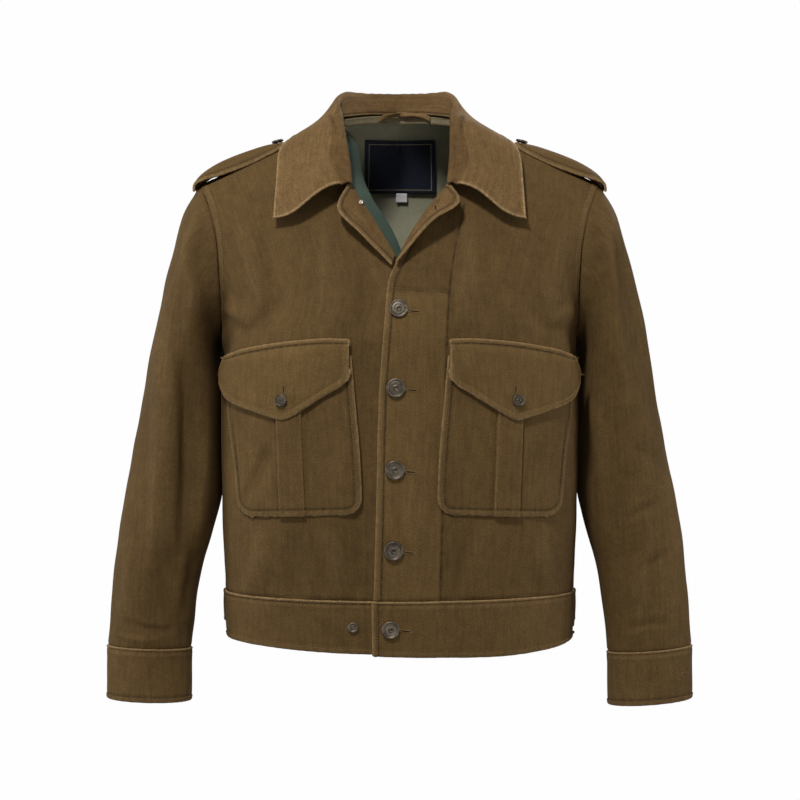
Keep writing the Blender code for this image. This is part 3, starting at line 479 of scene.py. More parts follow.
    def sew_on(self, held, rests_on, slot="twill"):
        """Makes the piece in place of its solid, and keeps what it was cut to."""
        rows, columns = self.grid.shape[:2]
        inner = self.grid - self.normals() * self.thickness
        count = rows * columns
        spans = columns if self.closed else columns - 1
        row, column = np.meshgrid(np.arange(rows - 1), np.arange(spans), indexing="ij")
        rows_of = np.stack([row, row, row + 1, row + 1], -1).reshape(-1, 4)
        columns_of = np.stack([column, column + 1, column + 1, column], -1).reshape(-1, 4)
        quads = rows_of * columns + columns_of % columns
        places = self.weave[rows_of, columns_of]
        look = np.stack([self.wear_and_shading, self.fade], -1)
        points, looks = [*self.grid, *inner], [*look, *look]
        faces, corners = [quads, count + quads[:, ::-1]], [places, places[:, ::-1]]
        off = self.rim_way() * self.bulge * self.thickness
        total = 2 * count
        for loop in rim_loops(rows, columns, self.closed):
            at_row, at_column = np.transpose(loop)
            rim = at_row, at_column % columns
            outer = rim[0] * columns + rim[1]
            middle, half = (self.grid + inner)[rim] / 2, (self.grid - inner)[rim] / 2
            layers = [outer]
            size = len(loop) - 1
            for layer in range(1, RIM_LAYERS):
                turn = math.pi * layer / RIM_LAYERS
                points.append((middle + half * math.cos(turn) + off[rim] * math.sin(turn))[:-1])
                looks.append(look[rim][:-1])
                layers.append(total + np.arange(size + 1) % size)
                total += size
            layers.append(count + outer)
            place = self.weave[at_row, at_column]
            for near, far in zip(layers, layers[1:]):
                faces.append(np.stack([near[1:], near[:-1], far[:-1], far[1:]], -1))
                corners.append(np.stack([place[1:], place[:-1], place[:-1], place[1:]], 1))
        faces, corners = np.concatenate(faces), np.concatenate(corners)
        if self.flip:
            faces, corners = faces[:, ::-1], corners[:, ::-1]
        made = mesh_piece(f"{self.node}_cloth", np.concatenate(points), faces.tolist(),
                          self.finish)
        attributes = made.data.attributes
        for label, values in zip(("wear_and_shading", "fade"), np.concatenate(looks).T):
            layer = attributes.new(label, "FLOAT", "POINT")
            layer.data.foreach_set("value", values.astype(np.float32))
        places = np.zeros((faces.size, 3), np.float32)
        places[:, :2] = corners.reshape(-1, 2)
        attributes.new("weave", "FLOAT_VECTOR", "CORNER").data.foreach_set(
            "vector", places.ravel())
        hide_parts(self.node)
        SHEETS.append((made, self.cut, held, [f"{rests_on}_cloth"]))


def sided(node, side, grid, *looks, flip=LEFT, **more):
    """Cloth on one of the wearer's sides; flip is the side whose grid runs backwards."""
    return Cloth(f"{node}_{SIDES[side]}", grid, *looks, flip=side == flip, **more)


def folded(x, z, folds):
    """Height of soft ridges and troughs that run from point to point, with a bend."""
    total = np.zeros(np.shape(x))
    for fold in folds:
        run = math.hypot(fold.x1 - fold.x0, fold.z1 - fold.z0)
        way_x, way_z = (fold.x1 - fold.x0) / run, (fold.z1 - fold.z0) / run
        share = ((x - fold.x0) * way_x + (z - fold.z0) * way_z) / run
        off = (z - fold.z0) * way_x - (x - fold.x0) * way_z
        off = off - fold.bend * 4 * share * (1 - share)
        width = fold.width * np.where(off > 0, 1.35, 0.8)
        taper = np.sin(np.pi * np.clip(share, 0, 1)) ** 0.8
        total += FOLD_GAIN * fold.height * taper * (
            bell(off, width) - 0.3 * bell(off, width * 2.1))
    return total


# ---- folds placed one by one ---------------------------------------------------------

FOLD_GAIN = 2.5         # all folds together, against the heights below
FOLD = "x0 z0 x1 z1 bend width height"
FRONT_FOLDS = table(FOLD, """
    -186 -115 -150 -250 6 12 2.0; 188 -120 160 -250 -5 12 1.8; -182 -244 -206 -305 0 8 -2.2;
    185 -240 206 -310 0 8 -2.2; 74 -118 62 -262 6 14 2.2; 96 -128 88 -250 5 16 -1.6;
    -78 -120 -66 -262 -5 15 1.5; -46 -190 -42 -540 4 20 -2.2; -120 -205 -174 -262 4 10 -1.4;
    120 -200 172 -258 -4 10 -1.4; -80 -462 -60 -545 3 11 1.8; 90 -458 78 -545 -3 11 1.7;
    -150 -462 -170 -545 4 12 2.2; 150 -462 168 -545 -4 12 2.0; 14 -300 10 -530 4 10 1.0;
    -112 -464 -118 -545 2 12 -1.4; -36 -175 -40 -262 2 14 -2.6; -196 -225 -160 -250 3 8 1.8;
    196 -225 160 -248 -3 8 1.6; -150 -130 -132 -250 3 13 -1.3; 150 -128 130 -245 -3 13 -1.2;
    66 -462 60 -545 2 9 -1.3""")
BACK_FOLDS = table(FOLD, """
    -150 -120 -160 -330 10 14 2.2; 152 -125 158 -320 -10 14 2.1; -95 -300 -110 -530 8 13 1.9;
    98 -310 105 -530 -7 13 1.8; -30 -360 -24 -535 4 12 1.5; 36 -340 30 -535 -5 12 1.4;
    -190 -260 -120 -292 6 9 -1.6; 190 -255 128 -290 -6 9 -1.5; -60 -60 -20 -130 4 12 0.9;
    60 -62 22 -128 -4 12 0.8; -165 -400 -172 -530 4 10 1.6; 168 -410 170 -530 -4 10 1.5""")
SLEEVE_FOLDS = {
    RIGHT: table(FOLD, """
    -220 -95 -260 -232 4 7 2.6; -236 -140 -218 -240 -3 8 2.2; -250 -150 -246 -300 3 9 -1.6;
    -264 -245 -272 -520 5 15 4.2; -240 -262 -240 -505 4 9 -4.6; -214 -290 -224 -500 3 8 2.2;
    -224 -470 -240 -570 2 8 -1.8; -262 -480 -270 -580 3 12 -1.6; -300 -480 -312 -590 4 10 1.8;
    -246 -579 -302 -568 5 5 -1.2; -262 -590 -316 -584 3 4 1.0"""),
    LEFT: table(FOLD, """
    219 -104 238 -232 4 7 2.4; 223 -92 283 -330 6 7 2.8; 238 -150 258 -330 3 10 -2.0;
    262 -250 296 -430 4 11 -1.5; 248 -460 288 -443 2 4.5 -1.9; 270 -514 297 -496 1 4 -1.6;
    256 -380 290 -404 3 7 -1.5; 210 -300 224 -450 3 9 1.8; 252 -500 262 -596 3 10 1.8;
    296 -410 308 -530 3 11 2.0; 246 -582 300 -574 4 5 -1.0; 234 -400 240 -520 3 9 -1.6"""),
}
SLEEVE_BACK = table(FOLD, """
    226 -110 246 -240 4 8 2.0; 212 -300 286 -352 6 9 -2.2; 208 -340 296 -392 5 8 -1.9;
    214 -400 298 -424 4 8 -1.6; 232 -240 262 -330 4 10 1.4; 250 -450 262 -590 4 9 1.3""")
SLEEVE_BACK_FOLDS = {
    side: [row._replace(x0=side * row.x0, x1=side * row.x1, bend=side * row.bend)
           for row in SLEEVE_BACK] for side in SIDES}
POCKET_FOLDS = table(FOLD, """
    -137 -366 -173 -442 3 7 -1.7; 148 -370 160 -440 3 8 -0.7; -70 -340 -60 -430 3 9 0.9;
    66 -345 60 -430 -3 9 0.9; 82 -400 90 -448 1 4 -0.6""")
FLAP_FOLDS = table(FOLD, """
    150 -285 137 -340 2 4 -0.6; 120 -288 113 -318 1 4 -0.5; -148 -285 -136 -338 -2 5 -0.5""")
LINING_FOLDS = table(FOLD, """
    -46 -22 -52 -120 3 5 1.2; 52 -30 46 -130 -3 6 1.0; -20 -95 -34 -200 3 7 1.0;
    24 -98 14 -220 -3 7 0.9""")

# ---- fronts and back -----------------------------------------------------------------

NECK_EDGE = {   # of each front, from the first button up to the shoulder seam
    LEFT: table("x z", "-17 -248; -13 -203; -7 -185; 2 -166; 10 -151; 19 -137; 29 -121;"
                "41 -106; 51 -91; 58 -75; 66 -55; 72 -34; 75 -12"),
    RIGHT: table("x z", "-20 -248; -17 -212; -8 -188; 3 -173; 9 -166; 25 -136; 38 -114;"
                 "51 -94; 59 -75; 66 -55; 72 -34; 75 -12"),
}
LEFT_CLOSURE = table("z x", "-601 -29.5; -543 -28; -450 -25.5; -326 -22.5; -248 -17")
RIGHT_CLOSURE_X = 20    # how far the right front reaches under the left one
FACING = table("z x", "-545 43.5; -380 48; -208 54; -125 68; -85 80")   # the facing's seam
FACING_TOP_Z = -210     # and the short seam that crosses it
BODY_ROWS, ARMHOLE_ROWS, BACK_COLUMNS = 84, 52, 56
FRONT_COLUMNS = {LEFT: (30, 54), RIGHT: (10, 74)}       # on each side of the facing's seam
BACK_NECK = table("x z", "0 0; 30 -1.5; 58 -6.5; 75 -12")
LINING_GAP, LINING = 1.8, 1.0
ARMHOLE_BAND, SHOULDER_BAND, FRONT_SIDE_BAND, BACK_SIDE_BAND = 8.5, 7.5, 6, 8   # turnings
ARMHOLE_SEWN, SIDE_SEWN, SHOULDER_SEWN = (2.2, 8.0), (2.2, 7.6), (2.0, 7.2)
CLOSURE_TOP_Z, HEM_PAST, SEWN_PAST = -262, 30, 26   # the hem runs on for some rows above
FACING_SEAM_Z, FACING_SEAM_X = (-541, -112), -8     # ends of the facing's seams
FACING_PALE, PAINTED_LAPEL_SHADE = 0.4, 0.12     # paler below the short seam; above it, painted shade from the lapel


def stacked(*parts):
    """Numbers for the rows below the armhole, then for those beside it."""
    return np.concatenate(parts)[:, None]


def front_panel(side):
    body, top = shares(BODY_ROWS, 0.6)[:-1], shares(ARMHOLE_ROWS, 0.5)
    inner_z = blend(BAND_TOP["front"], UNDERARM_Z, body)
    outer_z = blend(BAND_TOP["side"], UNDERARM_Z, body)
    closure = 0 * body - RIGHT_CLOSURE_X
    if side == LEFT:
        closure = smooth(LEFT_CLOSURE, inner_z, "x")
    neck = spread(top, np.linspace(0, 1, 400), along(chain(NECK_EDGE[side]), 400))
    ring = armhole_point(180 * top, False)
    inner_x, inner_z = stacked(closure, neck[:, 0]), stacked(inner_z, neck[:, 1])
    outer_x = stacked(smooth(TORSO, outer_z, "half_width"), ring[:, 0])
    outer_z = stacked(outer_z, ring[:, 2])

    def place(share):
        return surface(blend(inner_x, outer_x, share), blend(inner_z, outer_z, share))

    def marks(lengths):
        mark = smooth(FACING, inner_z, "x") if side == LEFT else inner_x + 30
        mark = np.maximum(np.minimum(mark, outer_x - 60), inner_x + 12)
        x = blend(inner_x, outer_x, FINE)
        mark = np.stack([np.interp(at, row, line) for at, row, line in zip(mark, x, lengths)])
        return np.hstack([0 * mark, mark, lengths[:, [-1]]])

    grid = spaced(place, FINE, FRONT_COLUMNS[side], 0.6, marks)
    if side == LEFT:
        rise = lap_rise(grid[..., 0], LAP)
        grid = grid + outward(grid[..., 0], grid[..., 2]) * rise[..., None]
    grid[-1, :, 1] -= SEAM / 2
    grid[:, -1] -= unit(grid[:, -1] - grid[:, -2]) * SEAM / 2
    grid = grid * [side, 1, 1]
    cloth = sided("front", side, grid, CLOTH, TWILL, flip=RIGHT, bulge=0.12)
    cloth.press(folded(grid[..., 0], grid[..., 2], FRONT_FOLDS)
                + 0.5 * ripple(grid, 70, 1 + side))
    cloth.gather()
    armhole, lower = cloth.column(-1, BODY_ROWS), cloth.column(-1, 0, BODY_ROWS)
    cloth.band(armhole, ARMHOLE_BAND, seed=side)
    cloth.band(cloth.row(-1), SHOULDER_BAND, seed=3 + side)
    cloth.band(lower, FRONT_SIDE_BAND, seed=5 + side)
    if side == LEFT:
        top = int(np.searchsorted(inner_z[:, 0], CLOSURE_TOP_Z))
        cloth.hem(cloth.column(0, 0, top + HEM_PAST), "closure", seed=2)
        cloth.stitch("front", cloth.column(0, 1, top + SEWN_PAST), HEMS["closure"].inset)
        facing_seams(cloth)
    cloth.stitch("front", armhole, *ARMHOLE_SEWN)
    cloth.stitch("front", lower, SIDE_SEWN[0])
    cloth.stitch("front", cloth.row(-1, 2), SHOULDER_SEWN[0])
    cloth.tuck(0, 1)
    cloth.sew_on("hung", "back")
    return cloth


def facing_seams(cloth):
    """The facing's long and short lines of sewing on the left front, with painted shade."""
    x, z = cloth.grid[..., 0], cloth.grid[..., 2]
    grid = cloth.grid
    seam_x = smooth(FACING, z, "x")
    long_z = np.linspace(*FACING_SEAM_Z, 160)
    short_x = np.linspace(FACING_SEAM_X, smooth(FACING, FACING_TOP_Z, "x"), 40)
    lines = (((smooth(FACING, long_z, "x"), long_z), 0.55, 0.9),
             ((short_x, blend(-206, -210, (short_x + 8) / 62)), 0.7, 0.45))
    for line, deep, dark in lines:
        path = cloth.on_front(np.transpose(line))
        away, at = nearest(grid, path)
        uneven = 1 + 0.3 * wobble(at, 10, deep)
        cloth.raise_by(uneven * (-deep * bell(away, 1.3)
                                 - 0.12 * np.sign(x - seam_x) * bell(away, 5)))
        # painted shade along the seam's groove
        cloth.wear_and_shading = cloth.wear_and_shading - dark * uneven * bell(away, 1.25)
    SEWN["front"].append(cloth.settle(path))
    # Inside the facing's seam: paler below the short seam, and painted shade from the lapel
    # above it.
    z = cloth.grid[..., 2]
    inside = ease((smooth(FACING, z, "x") - cloth.grid[..., 0]) / 3)
    below = ease((FACING_TOP_Z - z) / 3)
    cloth.fade = cloth.fade + inside * (FACING_PALE * below - PAINTED_LAPEL_SHADE * (1 - below))


def back_points(body_rows, armhole_rows, columns, tight=0.6):
    """Rows of points over the back, dipping with the neck at the top."""
    body, top = shares(body_rows, tight)[:-1], shares(armhole_rows, tight)
    outer_z = blend(BAND_TOP["side"], UNDERARM_Z, body)
    ring = armhole_point(180 * top, True)
    centre_z = stacked(blend(BAND_TOP["back"], UNDERARM_Z, body), blend(UNDERARM_Z, 0, top))
    outer_x = stacked(smooth(TORSO, outer_z, "half_width"), ring[:, 0])
    outer_z = stacked(outer_z, ring[:, 2])
    dip = stacked(0 * body, top) ** 3

    def place(share):
        x = outer_x * share
        neck = np.where(x < NECK_SIDE[0], smooth(BACK_NECK, x, "z"), shoulder_z(x))
        level = blend(centre_z, outer_z, share)
        return surface(x, level + (neck - blend(0, SHOULDER[1], share)) * dip, True)

    half = spaced(place, FINE, [columns], 0.5)
    return np.concatenate([half[:, :0:-1] * [-1, 1, 1], half], 1)


def back_panel():
    grid = back_points(BODY_ROWS, ARMHOLE_ROWS, BACK_COLUMNS)
    grid[-1, :, 1] += np.where(np.abs(grid[-1, :, 0]) > NECK_SIDE[0] - 8, SEAM / 2, 0)
    for end, beside in ((0, 1), (-1, -2)):
        grid[:, end] -= unit(grid[:, end] - grid[:, beside]) * SEAM / 2
    cloth = Cloth("back", grid, CLOTH, TWILL, flip=True, bulge=0.12)
    cloth.press(folded(grid[..., 0], grid[..., 2], BACK_FOLDS) + 0.5 * ripple(grid, 75, 4))
    cloth.gather()
    for column in (0, grid.shape[1] - 1):
        armhole, lower = cloth.column(column, BODY_ROWS), cloth.column(column, 0, BODY_ROWS)
        cloth.band(armhole, ARMHOLE_BAND, seed=column)
        cloth.stitch("back", armhole, *ARMHOLE_SEWN)
        cloth.band(lower, BACK_SIDE_BAND, seed=1 + column)
        cloth.stitch("back", lower, *SIDE_SEWN)
    cloth.band(cloth.row(-1), SHOULDER_BAND, seed=7)
    cloth.stitch("back", cloth.row(-1), *SHOULDER_SEWN)
    cloth.tuck(0, 1)
    cloth.sew_on("hung", "collar")


def lining_back():
    grid = back_points(60, 40, 34, 0.3)
    grid = (grid + normals_of(grid) * (CLOTH + LINING_GAP))[3:-1, 12:-12]
    cloth = Cloth("lining_back", grid, LINING, KHAKI, flip=True, bulge=0.3)
    cloth.raise_by(-np.abs(folded(grid[..., 0], grid[..., 2], LINING_FOLDS)))
    cloth.sew_on("hung", "back", "khaki_lining")


# ---- waistband -----------------------------------------------------------------------

HEM_SAG = table("x z", "-30 1.5; 24 3; 61 4.5; 109 6.5; 141 6.5; 173 5.2; 191 2.5")
WAIST_Z = -565          # where the waistband's width is taken
WAIST_ROWS = 26
BAND_TURNED = 9.5       # the panels' turnings inside the waistband and the cuffs


def waist_points(start, end, columns, back, lap):
    """Rows round the waist from the hem up; start and end are the sine of the turn."""
    width = smooth(TORSO, WAIST_Z, "half_width")
    share = shares(WAIST_ROWS, 0.7)[:, None]

    def place(turn):
        x = width * np.sin(turn)
        round_off = 1 - np.minimum(np.abs(x) / width, 1) ** 2
        hem, top = (blend(levels["side"], levels["back" if back else "front"], round_off)
                    for levels in (HEM, BAND_TOP))
        level = blend(hem, top - SEAM, share)
        true_width = smooth(TORSO, level, "half_width")
        x = true_width * np.sin(turn)
        rise = BAND_PROUD + 0 * x
        if lap:     # the left front's hem hangs lower
            level = level - smooth(HEM_SAG, x, "z") * (1 - share)
            rise = rise + lap_rise(x, BAND_LAP)
        return lifted_round_side(x, level, true_width, rise, back)

    fine = np.linspace(math.asin(start), math.asin(end), 400)[None]
    return spaced(place, fine, [columns], 0.35)


def waistband(name, start, end, columns):
    """One of the band's three lengths; its ends at a side seam are at -1 or 1."""
    lap, back = name == "left", name == "back"
    grid = waist_points(start, end, columns, back, lap)
    for at, first, beside in ((start, 0, 1), (end, -1, -2)):
        if abs(at) == 1:
            grid[:, first] += unit(grid[:, beside] - grid[:, first]) * SEAM / 2
    cloth = Cloth(f"waistband_{name}", grid, BAND, TWILL, bulge=0.3, fade=0.1)
    seed = len(name)
    cloth.raise_by(0.35 * ripple(grid, 45, seed))
    low, high = cloth.row(0), cloth.row(-1)
    cloth.band(high, BAND_TURNED, high=0.35, seed=seed)
    cloth.hem(low, "band_low", seed=seed)
    cloth.hem(high, "band_high", seed=2)
    cloth.stitch("band", low, HEMS["band_low"].inset)
    cloth.stitch("band", high, HEMS["band_high"].inset)
    if lap:
        cloth.hem(cloth.column(0), "band_end", seed=1)
        cloth.stitch("band", cloth.column(0), HEMS["band_end"].inset)
    cloth.sew_on("laid", "back" if back else f"front_{name}")
    return cloth


# ---- sleeves and cuffs ---------------------------------------------------------------

SLEEVE = table("outer_x outer_z inner_x inner_z y half_depth", """
    243.5 -118 202.5 -255 -63 64; 253 -152 205 -264 -64 65; 262 -187 206 -276 -64 66;
    270 -226 204.5 -293 -65 66; 279 -268 204 -318 -66 64; 287 -312 203.5 -350 -67 62;
    295 -358 203.5 -388 -69 59; 303 -402 203.5 -424 -72 55; 310.5 -448 208 -460 -76 51;
    317 -494 218 -500 -81 47; 321.5 -542 226 -545.5 -86 43.5; 325 -598.5 232.5 -602.5 -91 40""")
SLEEVE_Y = (-64, -91)   # of its axis, from the armhole to the cuff
CUFF_HEIGHT = 58.5
CUFF_DROP = {LEFT: 3.5, RIGHT: -1}
INNER_FULL, = table("angle z spread reach height", "320 -345 29 115 19")    # a fold inside
RING = 96               # points round a sleeve, from the underarm over the front
RING_ANGLES = np.arange(RING) * 360 / RING
SLEEVE_ROWS, CUFF_ROWS = 150, 30
CUFF_PROUD, CUFF_FORWARD, CUFF_SEWN = 1.0, 4, 3.0


def ring_points(section, side, proud=0.0):
    outer = np.array([section.outer_x, section.y, section.outer_z])
    inner = np.array([section.inner_x, section.y, section.inner_z])
    half = (outer - inner) / 2
    half = half * (1 + proud / np.linalg.norm(half))
    turn = np.radians(RING_ANGLES)
    points = (outer + inner) / 2 - half * np.cos(turn)[:, None]
    points[:, 1] -= (section.half_depth + proud) * np.sin(turn)
    return points * [side, 1, 1]


def dropped(section, side):
    start, end = SLEEVE[8].inner_z, SLEEVE[-1].inner_z
    share = ease((section.inner_z - start) / (end - start))
    return section._replace(inner_z=section.inner_z - CUFF_DROP[side] * share)


def sleeve(side):
    ring = np.where(RING_ANGLES[:, None] <= 180,
                    armhole_point(np.minimum(RING_ANGLES, 180), False),
                    armhole_point(360 - np.maximum(RING_ANGLES, 180), True))
    rings = np.stack([(ring + [SEAM, 0, 0]) * [side, 1, 1]]
                     + [ring_points(dropped(section, side), side) for section in SLEEVE])
    at = arc(np.swapaxes(rings, 0, 1)).mean(0)
    grid = hermite(at, rings, shares(SLEEVE_ROWS, 0.55, at[0], at[-1]))
    cloth = sided("sleeve", side, grid, CLOTH, TWILL, closed=True, bulge=0.1)
    x, y, z = np.moveaxis(grid, -1, 0)
    facing = ease(0.5 + (np.linspace(*SLEEVE_Y, len(grid))[:, None] - y) / 60)
    cloth.press(facing * folded(x, z, SLEEVE_FOLDS[side])
                + (1 - facing) * folded(x, z, SLEEVE_BACK_FOLDS[side])
                + 0.7 * ripple(grid, 62, 2 + side))
    turn = (RING_ANGLES - INNER_FULL.angle + 180) % 360 - 180
    cloth.raise_by(INNER_FULL.height * bell(turn, INNER_FULL.spread)
                   * bell(z[:, :1] - INNER_FULL.z, INNER_FULL.reach))
    away, at = cloth.from_edge(cloth.row(0))
    cloth.raise_by(0.5 * wobble(at, 15, side) * bell(away - 5, 6)
                   - 0.5 * bell(away, 1.2) + 0.5 * bell(away - 3.5, 2.6))
    away, at = cloth.from_edge(cloth.row(-1))
    cloth.raise_by(0.8 * wobble(at, 17, 2 + side) * bell(away, 15) - 0.9 * bell(away, 1.4))
    cloth.tuck(-1, -2)
    cloth.sew_on("hung", f"front_{SIDES[side]}")


def cuff(side):
    top = dropped(SLEEVE[-1], side)
    grid = []
    for share in shares(CUFF_ROWS, 0.7):
        drop = SEAM * 1.5 + share * CUFF_HEIGHT
        section = top._replace(
            outer_z=top.outer_z - drop, inner_z=top.inner_z - drop,
            y=top.y - CUFF_FORWARD * share)
        grid.append(ring_points(section, side, CUFF_PROUD))
    grid = np.stack(grid)
    cloth = sided("cuff", side, grid, BAND, TWILL, closed=True, bulge=0.3, fade=0.08)
    cloth.raise_by(0.35 * ripple(grid, 38, 3 * side))
    high, low = cloth.row(0), cloth.row(-1)
    cloth.band(high, BAND_TURNED, high=0.3, seed=side)
    cloth.hem(high, "cuff_high", seed=side)
    cloth.hem(low, "cuff_low", seed=1 + side)
    cloth.stitch("cuffs", high, CUFF_SEWN)
    cloth.stitch("cuffs", low, HEMS["cuff_low"].inset)
    cloth.sew_on("hung", f"sleeve_{SIDES[side]}")
    return cloth


# ---- collar and lapels ---------------------------------------------------------------

# From the middle of the back to the front end, the wearer's left half.
COLLAR = table("at seam_x seam_z fold_x fold_y fold_z edge_x edge_y edge_z", """
    0 0 0 0 10 26 0 37 -43; 1 30 -1.5 33 8 26.5 34 33 -43; 2 58 -6.5 59.5 -7 26 69 18 -43;
    3 75 -12 68 -39 12 104 -16 -36; 4 75 -15 66 -57 0.5 120.5 -55 -33;
    5 73.5 -28 64 -78 -12.5 133 -98 -52; 6 66 -56 61 -109 -45 135.5 -128 -91;
    7 58 -79 57 -142 -88.5 137 -149 -129.5""")
FOLD_RADIUS, FOOT_RISE, FOOT_IN, LEAF_CROWN = 3.4, 1.1, DOUBLE + 0.5, 4.5
LEAF_SWING, LEAF_DROP, LEAF_STAND = 4.5, 2, 10   # of the leaf's front edge
COLLAR_LEAN = 4                     # the collar's top leans to the wearer's right
COLLAR_HALF, COLLAR_COLUMNS, FOLD_COLUMN = 110, 60, 22
STAND_DARK = -0.05      # the stand, inside the fold, is darker
LAPEL_GAP, LAPEL_ROWS, LAPEL_COLUMNS = 0.5, 56, 18
LAPEL_SHARE = 0.42      # the lapel is sewn no further in than this share of its width
LAPEL = "share roll_x roll_z edge_x edge_z stand"
LAPELS = {
    RIGHT: table(LAPEL, "0 52 -93 57 -94 4; 0.3 44 -106 67 -123 12; 0.65 25 -136 43 -150 12;"
                 "1 5 -170 9 -182 4"),
    LEFT: table(LAPEL, "0 51.5 -92 55 -93.5 5; 0.28 41 -105 64 -118 17; 0.6 22 -131 36 -139 17;"
                "0.84 8 -154 13 -162 10; 1 -3 -176 -3.5 -180 4"),
}


def collar_profile(share):
    """Points from the neck seam up the stand, over the fold and down the fall."""
    at = share * COLLAR[-1].at
    row = np.array([smooth(COLLAR, at, name) for name in COLLAR[0]._fields])
    seam, fold, edge = surface(row[1], row[2], share < 0.42), row[3:6], row[6:]
    out = unit((edge - fold) * [1, 1, 0])
    stand = seam + UP * FOOT_RISE - out * FOOT_IN
    profile = [stand, blend(stand, fold - out * FOLD_RADIUS, 0.6)]
    for turn in np.radians((150, 90, 30)):
        profile.append(fold + FOLD_RADIUS * (out * math.cos(turn) + UP * (math.sin(turn) - 1)))
    start = profile[-1]
    side = unit(np.cross(edge - start, [-out[1], out[0], 0]))
    side = -side if side[2] < 0 else side
    front = ease((share - 0.78) / 0.22)
    for part in np.linspace(0.125, 1, 8):
        rise = math.sin(math.pi * part)
        crown = LEAF_CROWN * rise * (1 - 0.7 * front) * (1 - 0.95 * bell(at - 3.8, 1.3))
        swing = front * (LEAF_SWING * math.sin(2 * math.pi * part) - LEAF_DROP * rise)
        away = front * LEAF_STAND * math.sin(math.pi * part ** 0.8)
        profile.append(blend(start, edge, part) + side * crown + [0, -away, swing])
    return np.array(profile)


def collar():
    half = []
    for share in shares(COLLAR_HALF, 0.35):
        line = chain(collar_profile(share), 12)
        at = arc(line)
        half.append(spread(shares(COLLAR_COLUMNS, 0.5, 0, at[-1]), at, line))
    half = np.array(half)
    half[0, :, 0] = 0
    grid = np.concatenate([half[:0:-1] * [-1, 1, 1], half])
    grid[..., 0] -= COLLAR_LEAN * ease((grid[..., 2] + 75) / 90)
    cloth = Cloth("collar", grid, DOUBLE, WORN, bulge=0.45, fade=0.3)
    cloth.fade[:, :FOLD_COLUMN] = STAND_DARK
    cloth.raise_by(0.5 * ripple(grid, 52, 1.3)
                   * ease((np.arange(grid.shape[1]) - FOLD_COLUMN) / 8))
    edge = cloth.row(0, FOLD_COLUMN) + cloth.column(-1, 1) + cloth.row(-1, FOLD_COLUMN)[::-1]
    cloth.hem(edge, "collar", seed=0.7)
    cloth.stitch("collar", edge, HEMS["collar"].inset)
    cloth.hem(cloth.column(0), "foot")
    cloth.sew_on("folded", "back", "worn_twill")


def lapel(side):
    """The front edge above the first button, turned outward over the chest."""
    share, part = shares(LAPEL_ROWS, 0.3)[:, None], shares(LAPEL_COLUMNS, 0.4)
    roll_x, roll_z, edge_x, edge_z, stand = (
        smooth(LAPELS[side], share, name) for name in LAPEL.split()[1:])
    x, z = blend(roll_x, edge_x, part), blend(roll_z, edge_z, part)
    rise = LAPEL_GAP + DOUBLE + stand * np.sin(np.pi / 2 * part)
    if side == LEFT:
        rise = rise + lap_rise(x, LAP)
    grid = lifted(x, z, rise) * [side, 1, 1]
    cloth = sided("lapel", side, grid, DOUBLE, WORN, bulge=0.4, fade=0.05)
    cloth.raise_by(0.3 * ripple(grid, 24, side))
    cloth.hem(cloth.row(0) + cloth.column(-1, 1), "lapel", side,
              LAPEL_SHARE * arc(grid)[:, -1:])
    cloth.stitch("collar", cloth.column(-1, 4, -14), HEMS["lapel"].inset)
    cloth.sew_on("folded", f"front_{SIDES[side]}", "worn_twill")
    return cloth


# ---- pockets -------------------------------------------------------------------------

POCKET_SIDES = table("share inner outer",
                     "0 52 188; 0.3 47.5 187; 0.6 43 180.5; 0.85 41 176.5; 1.0 41.5 174.5")
CORNER = 17             # radius of the pocket's lower corners
POCKET_TOP, POCKET_BOTTOM = (-280, -292), (-450, -453)      # z at the inner and outer side
PLEAT_TOP, PLEAT_BOTTOM = (107, 135), (100, 129)            # x of the box pleat's folds
PLEAT_RISE = 1.9
POCKET_ROWS, POCKET_COLUMNS = 70, (28, 16, 24)  # columns beside, on and beyond the pleat
FLAP_ROWS, FLAP_COLUMNS = 44, (44, 44)          # columns on each side of the point
FLAP = table("x top", "54 -262; 78 -261.3; 112 -263.5; 138 -266.5; 176 -273; 193.5 -277.5")
FLAP_TAPER = 5.5        # the outer end's top corner sits this far in
FLAP_EDGE = chain(table("x z", """
    54 -296; 55.2 -303; 59 -309.5; 66 -315; 76 -320.5; 90 -329.5; 104 -338.5; 114 -344.5;
    120 -347.8; 125 -348.6; 130 -347.8; 139 -345; 154 -340; 168 -335; 178 -330.5;
    185.5 -325; 190.5 -317; 193 -308; 193.5 -297"""))
FLAP_STAND, FLAP_POINT_X = 4.6, 125


def sides_and_foot(cloth):
    return cloth.column(0) + cloth.row(-1, 1) + cloth.column(-1, 0, -1)[::-1]


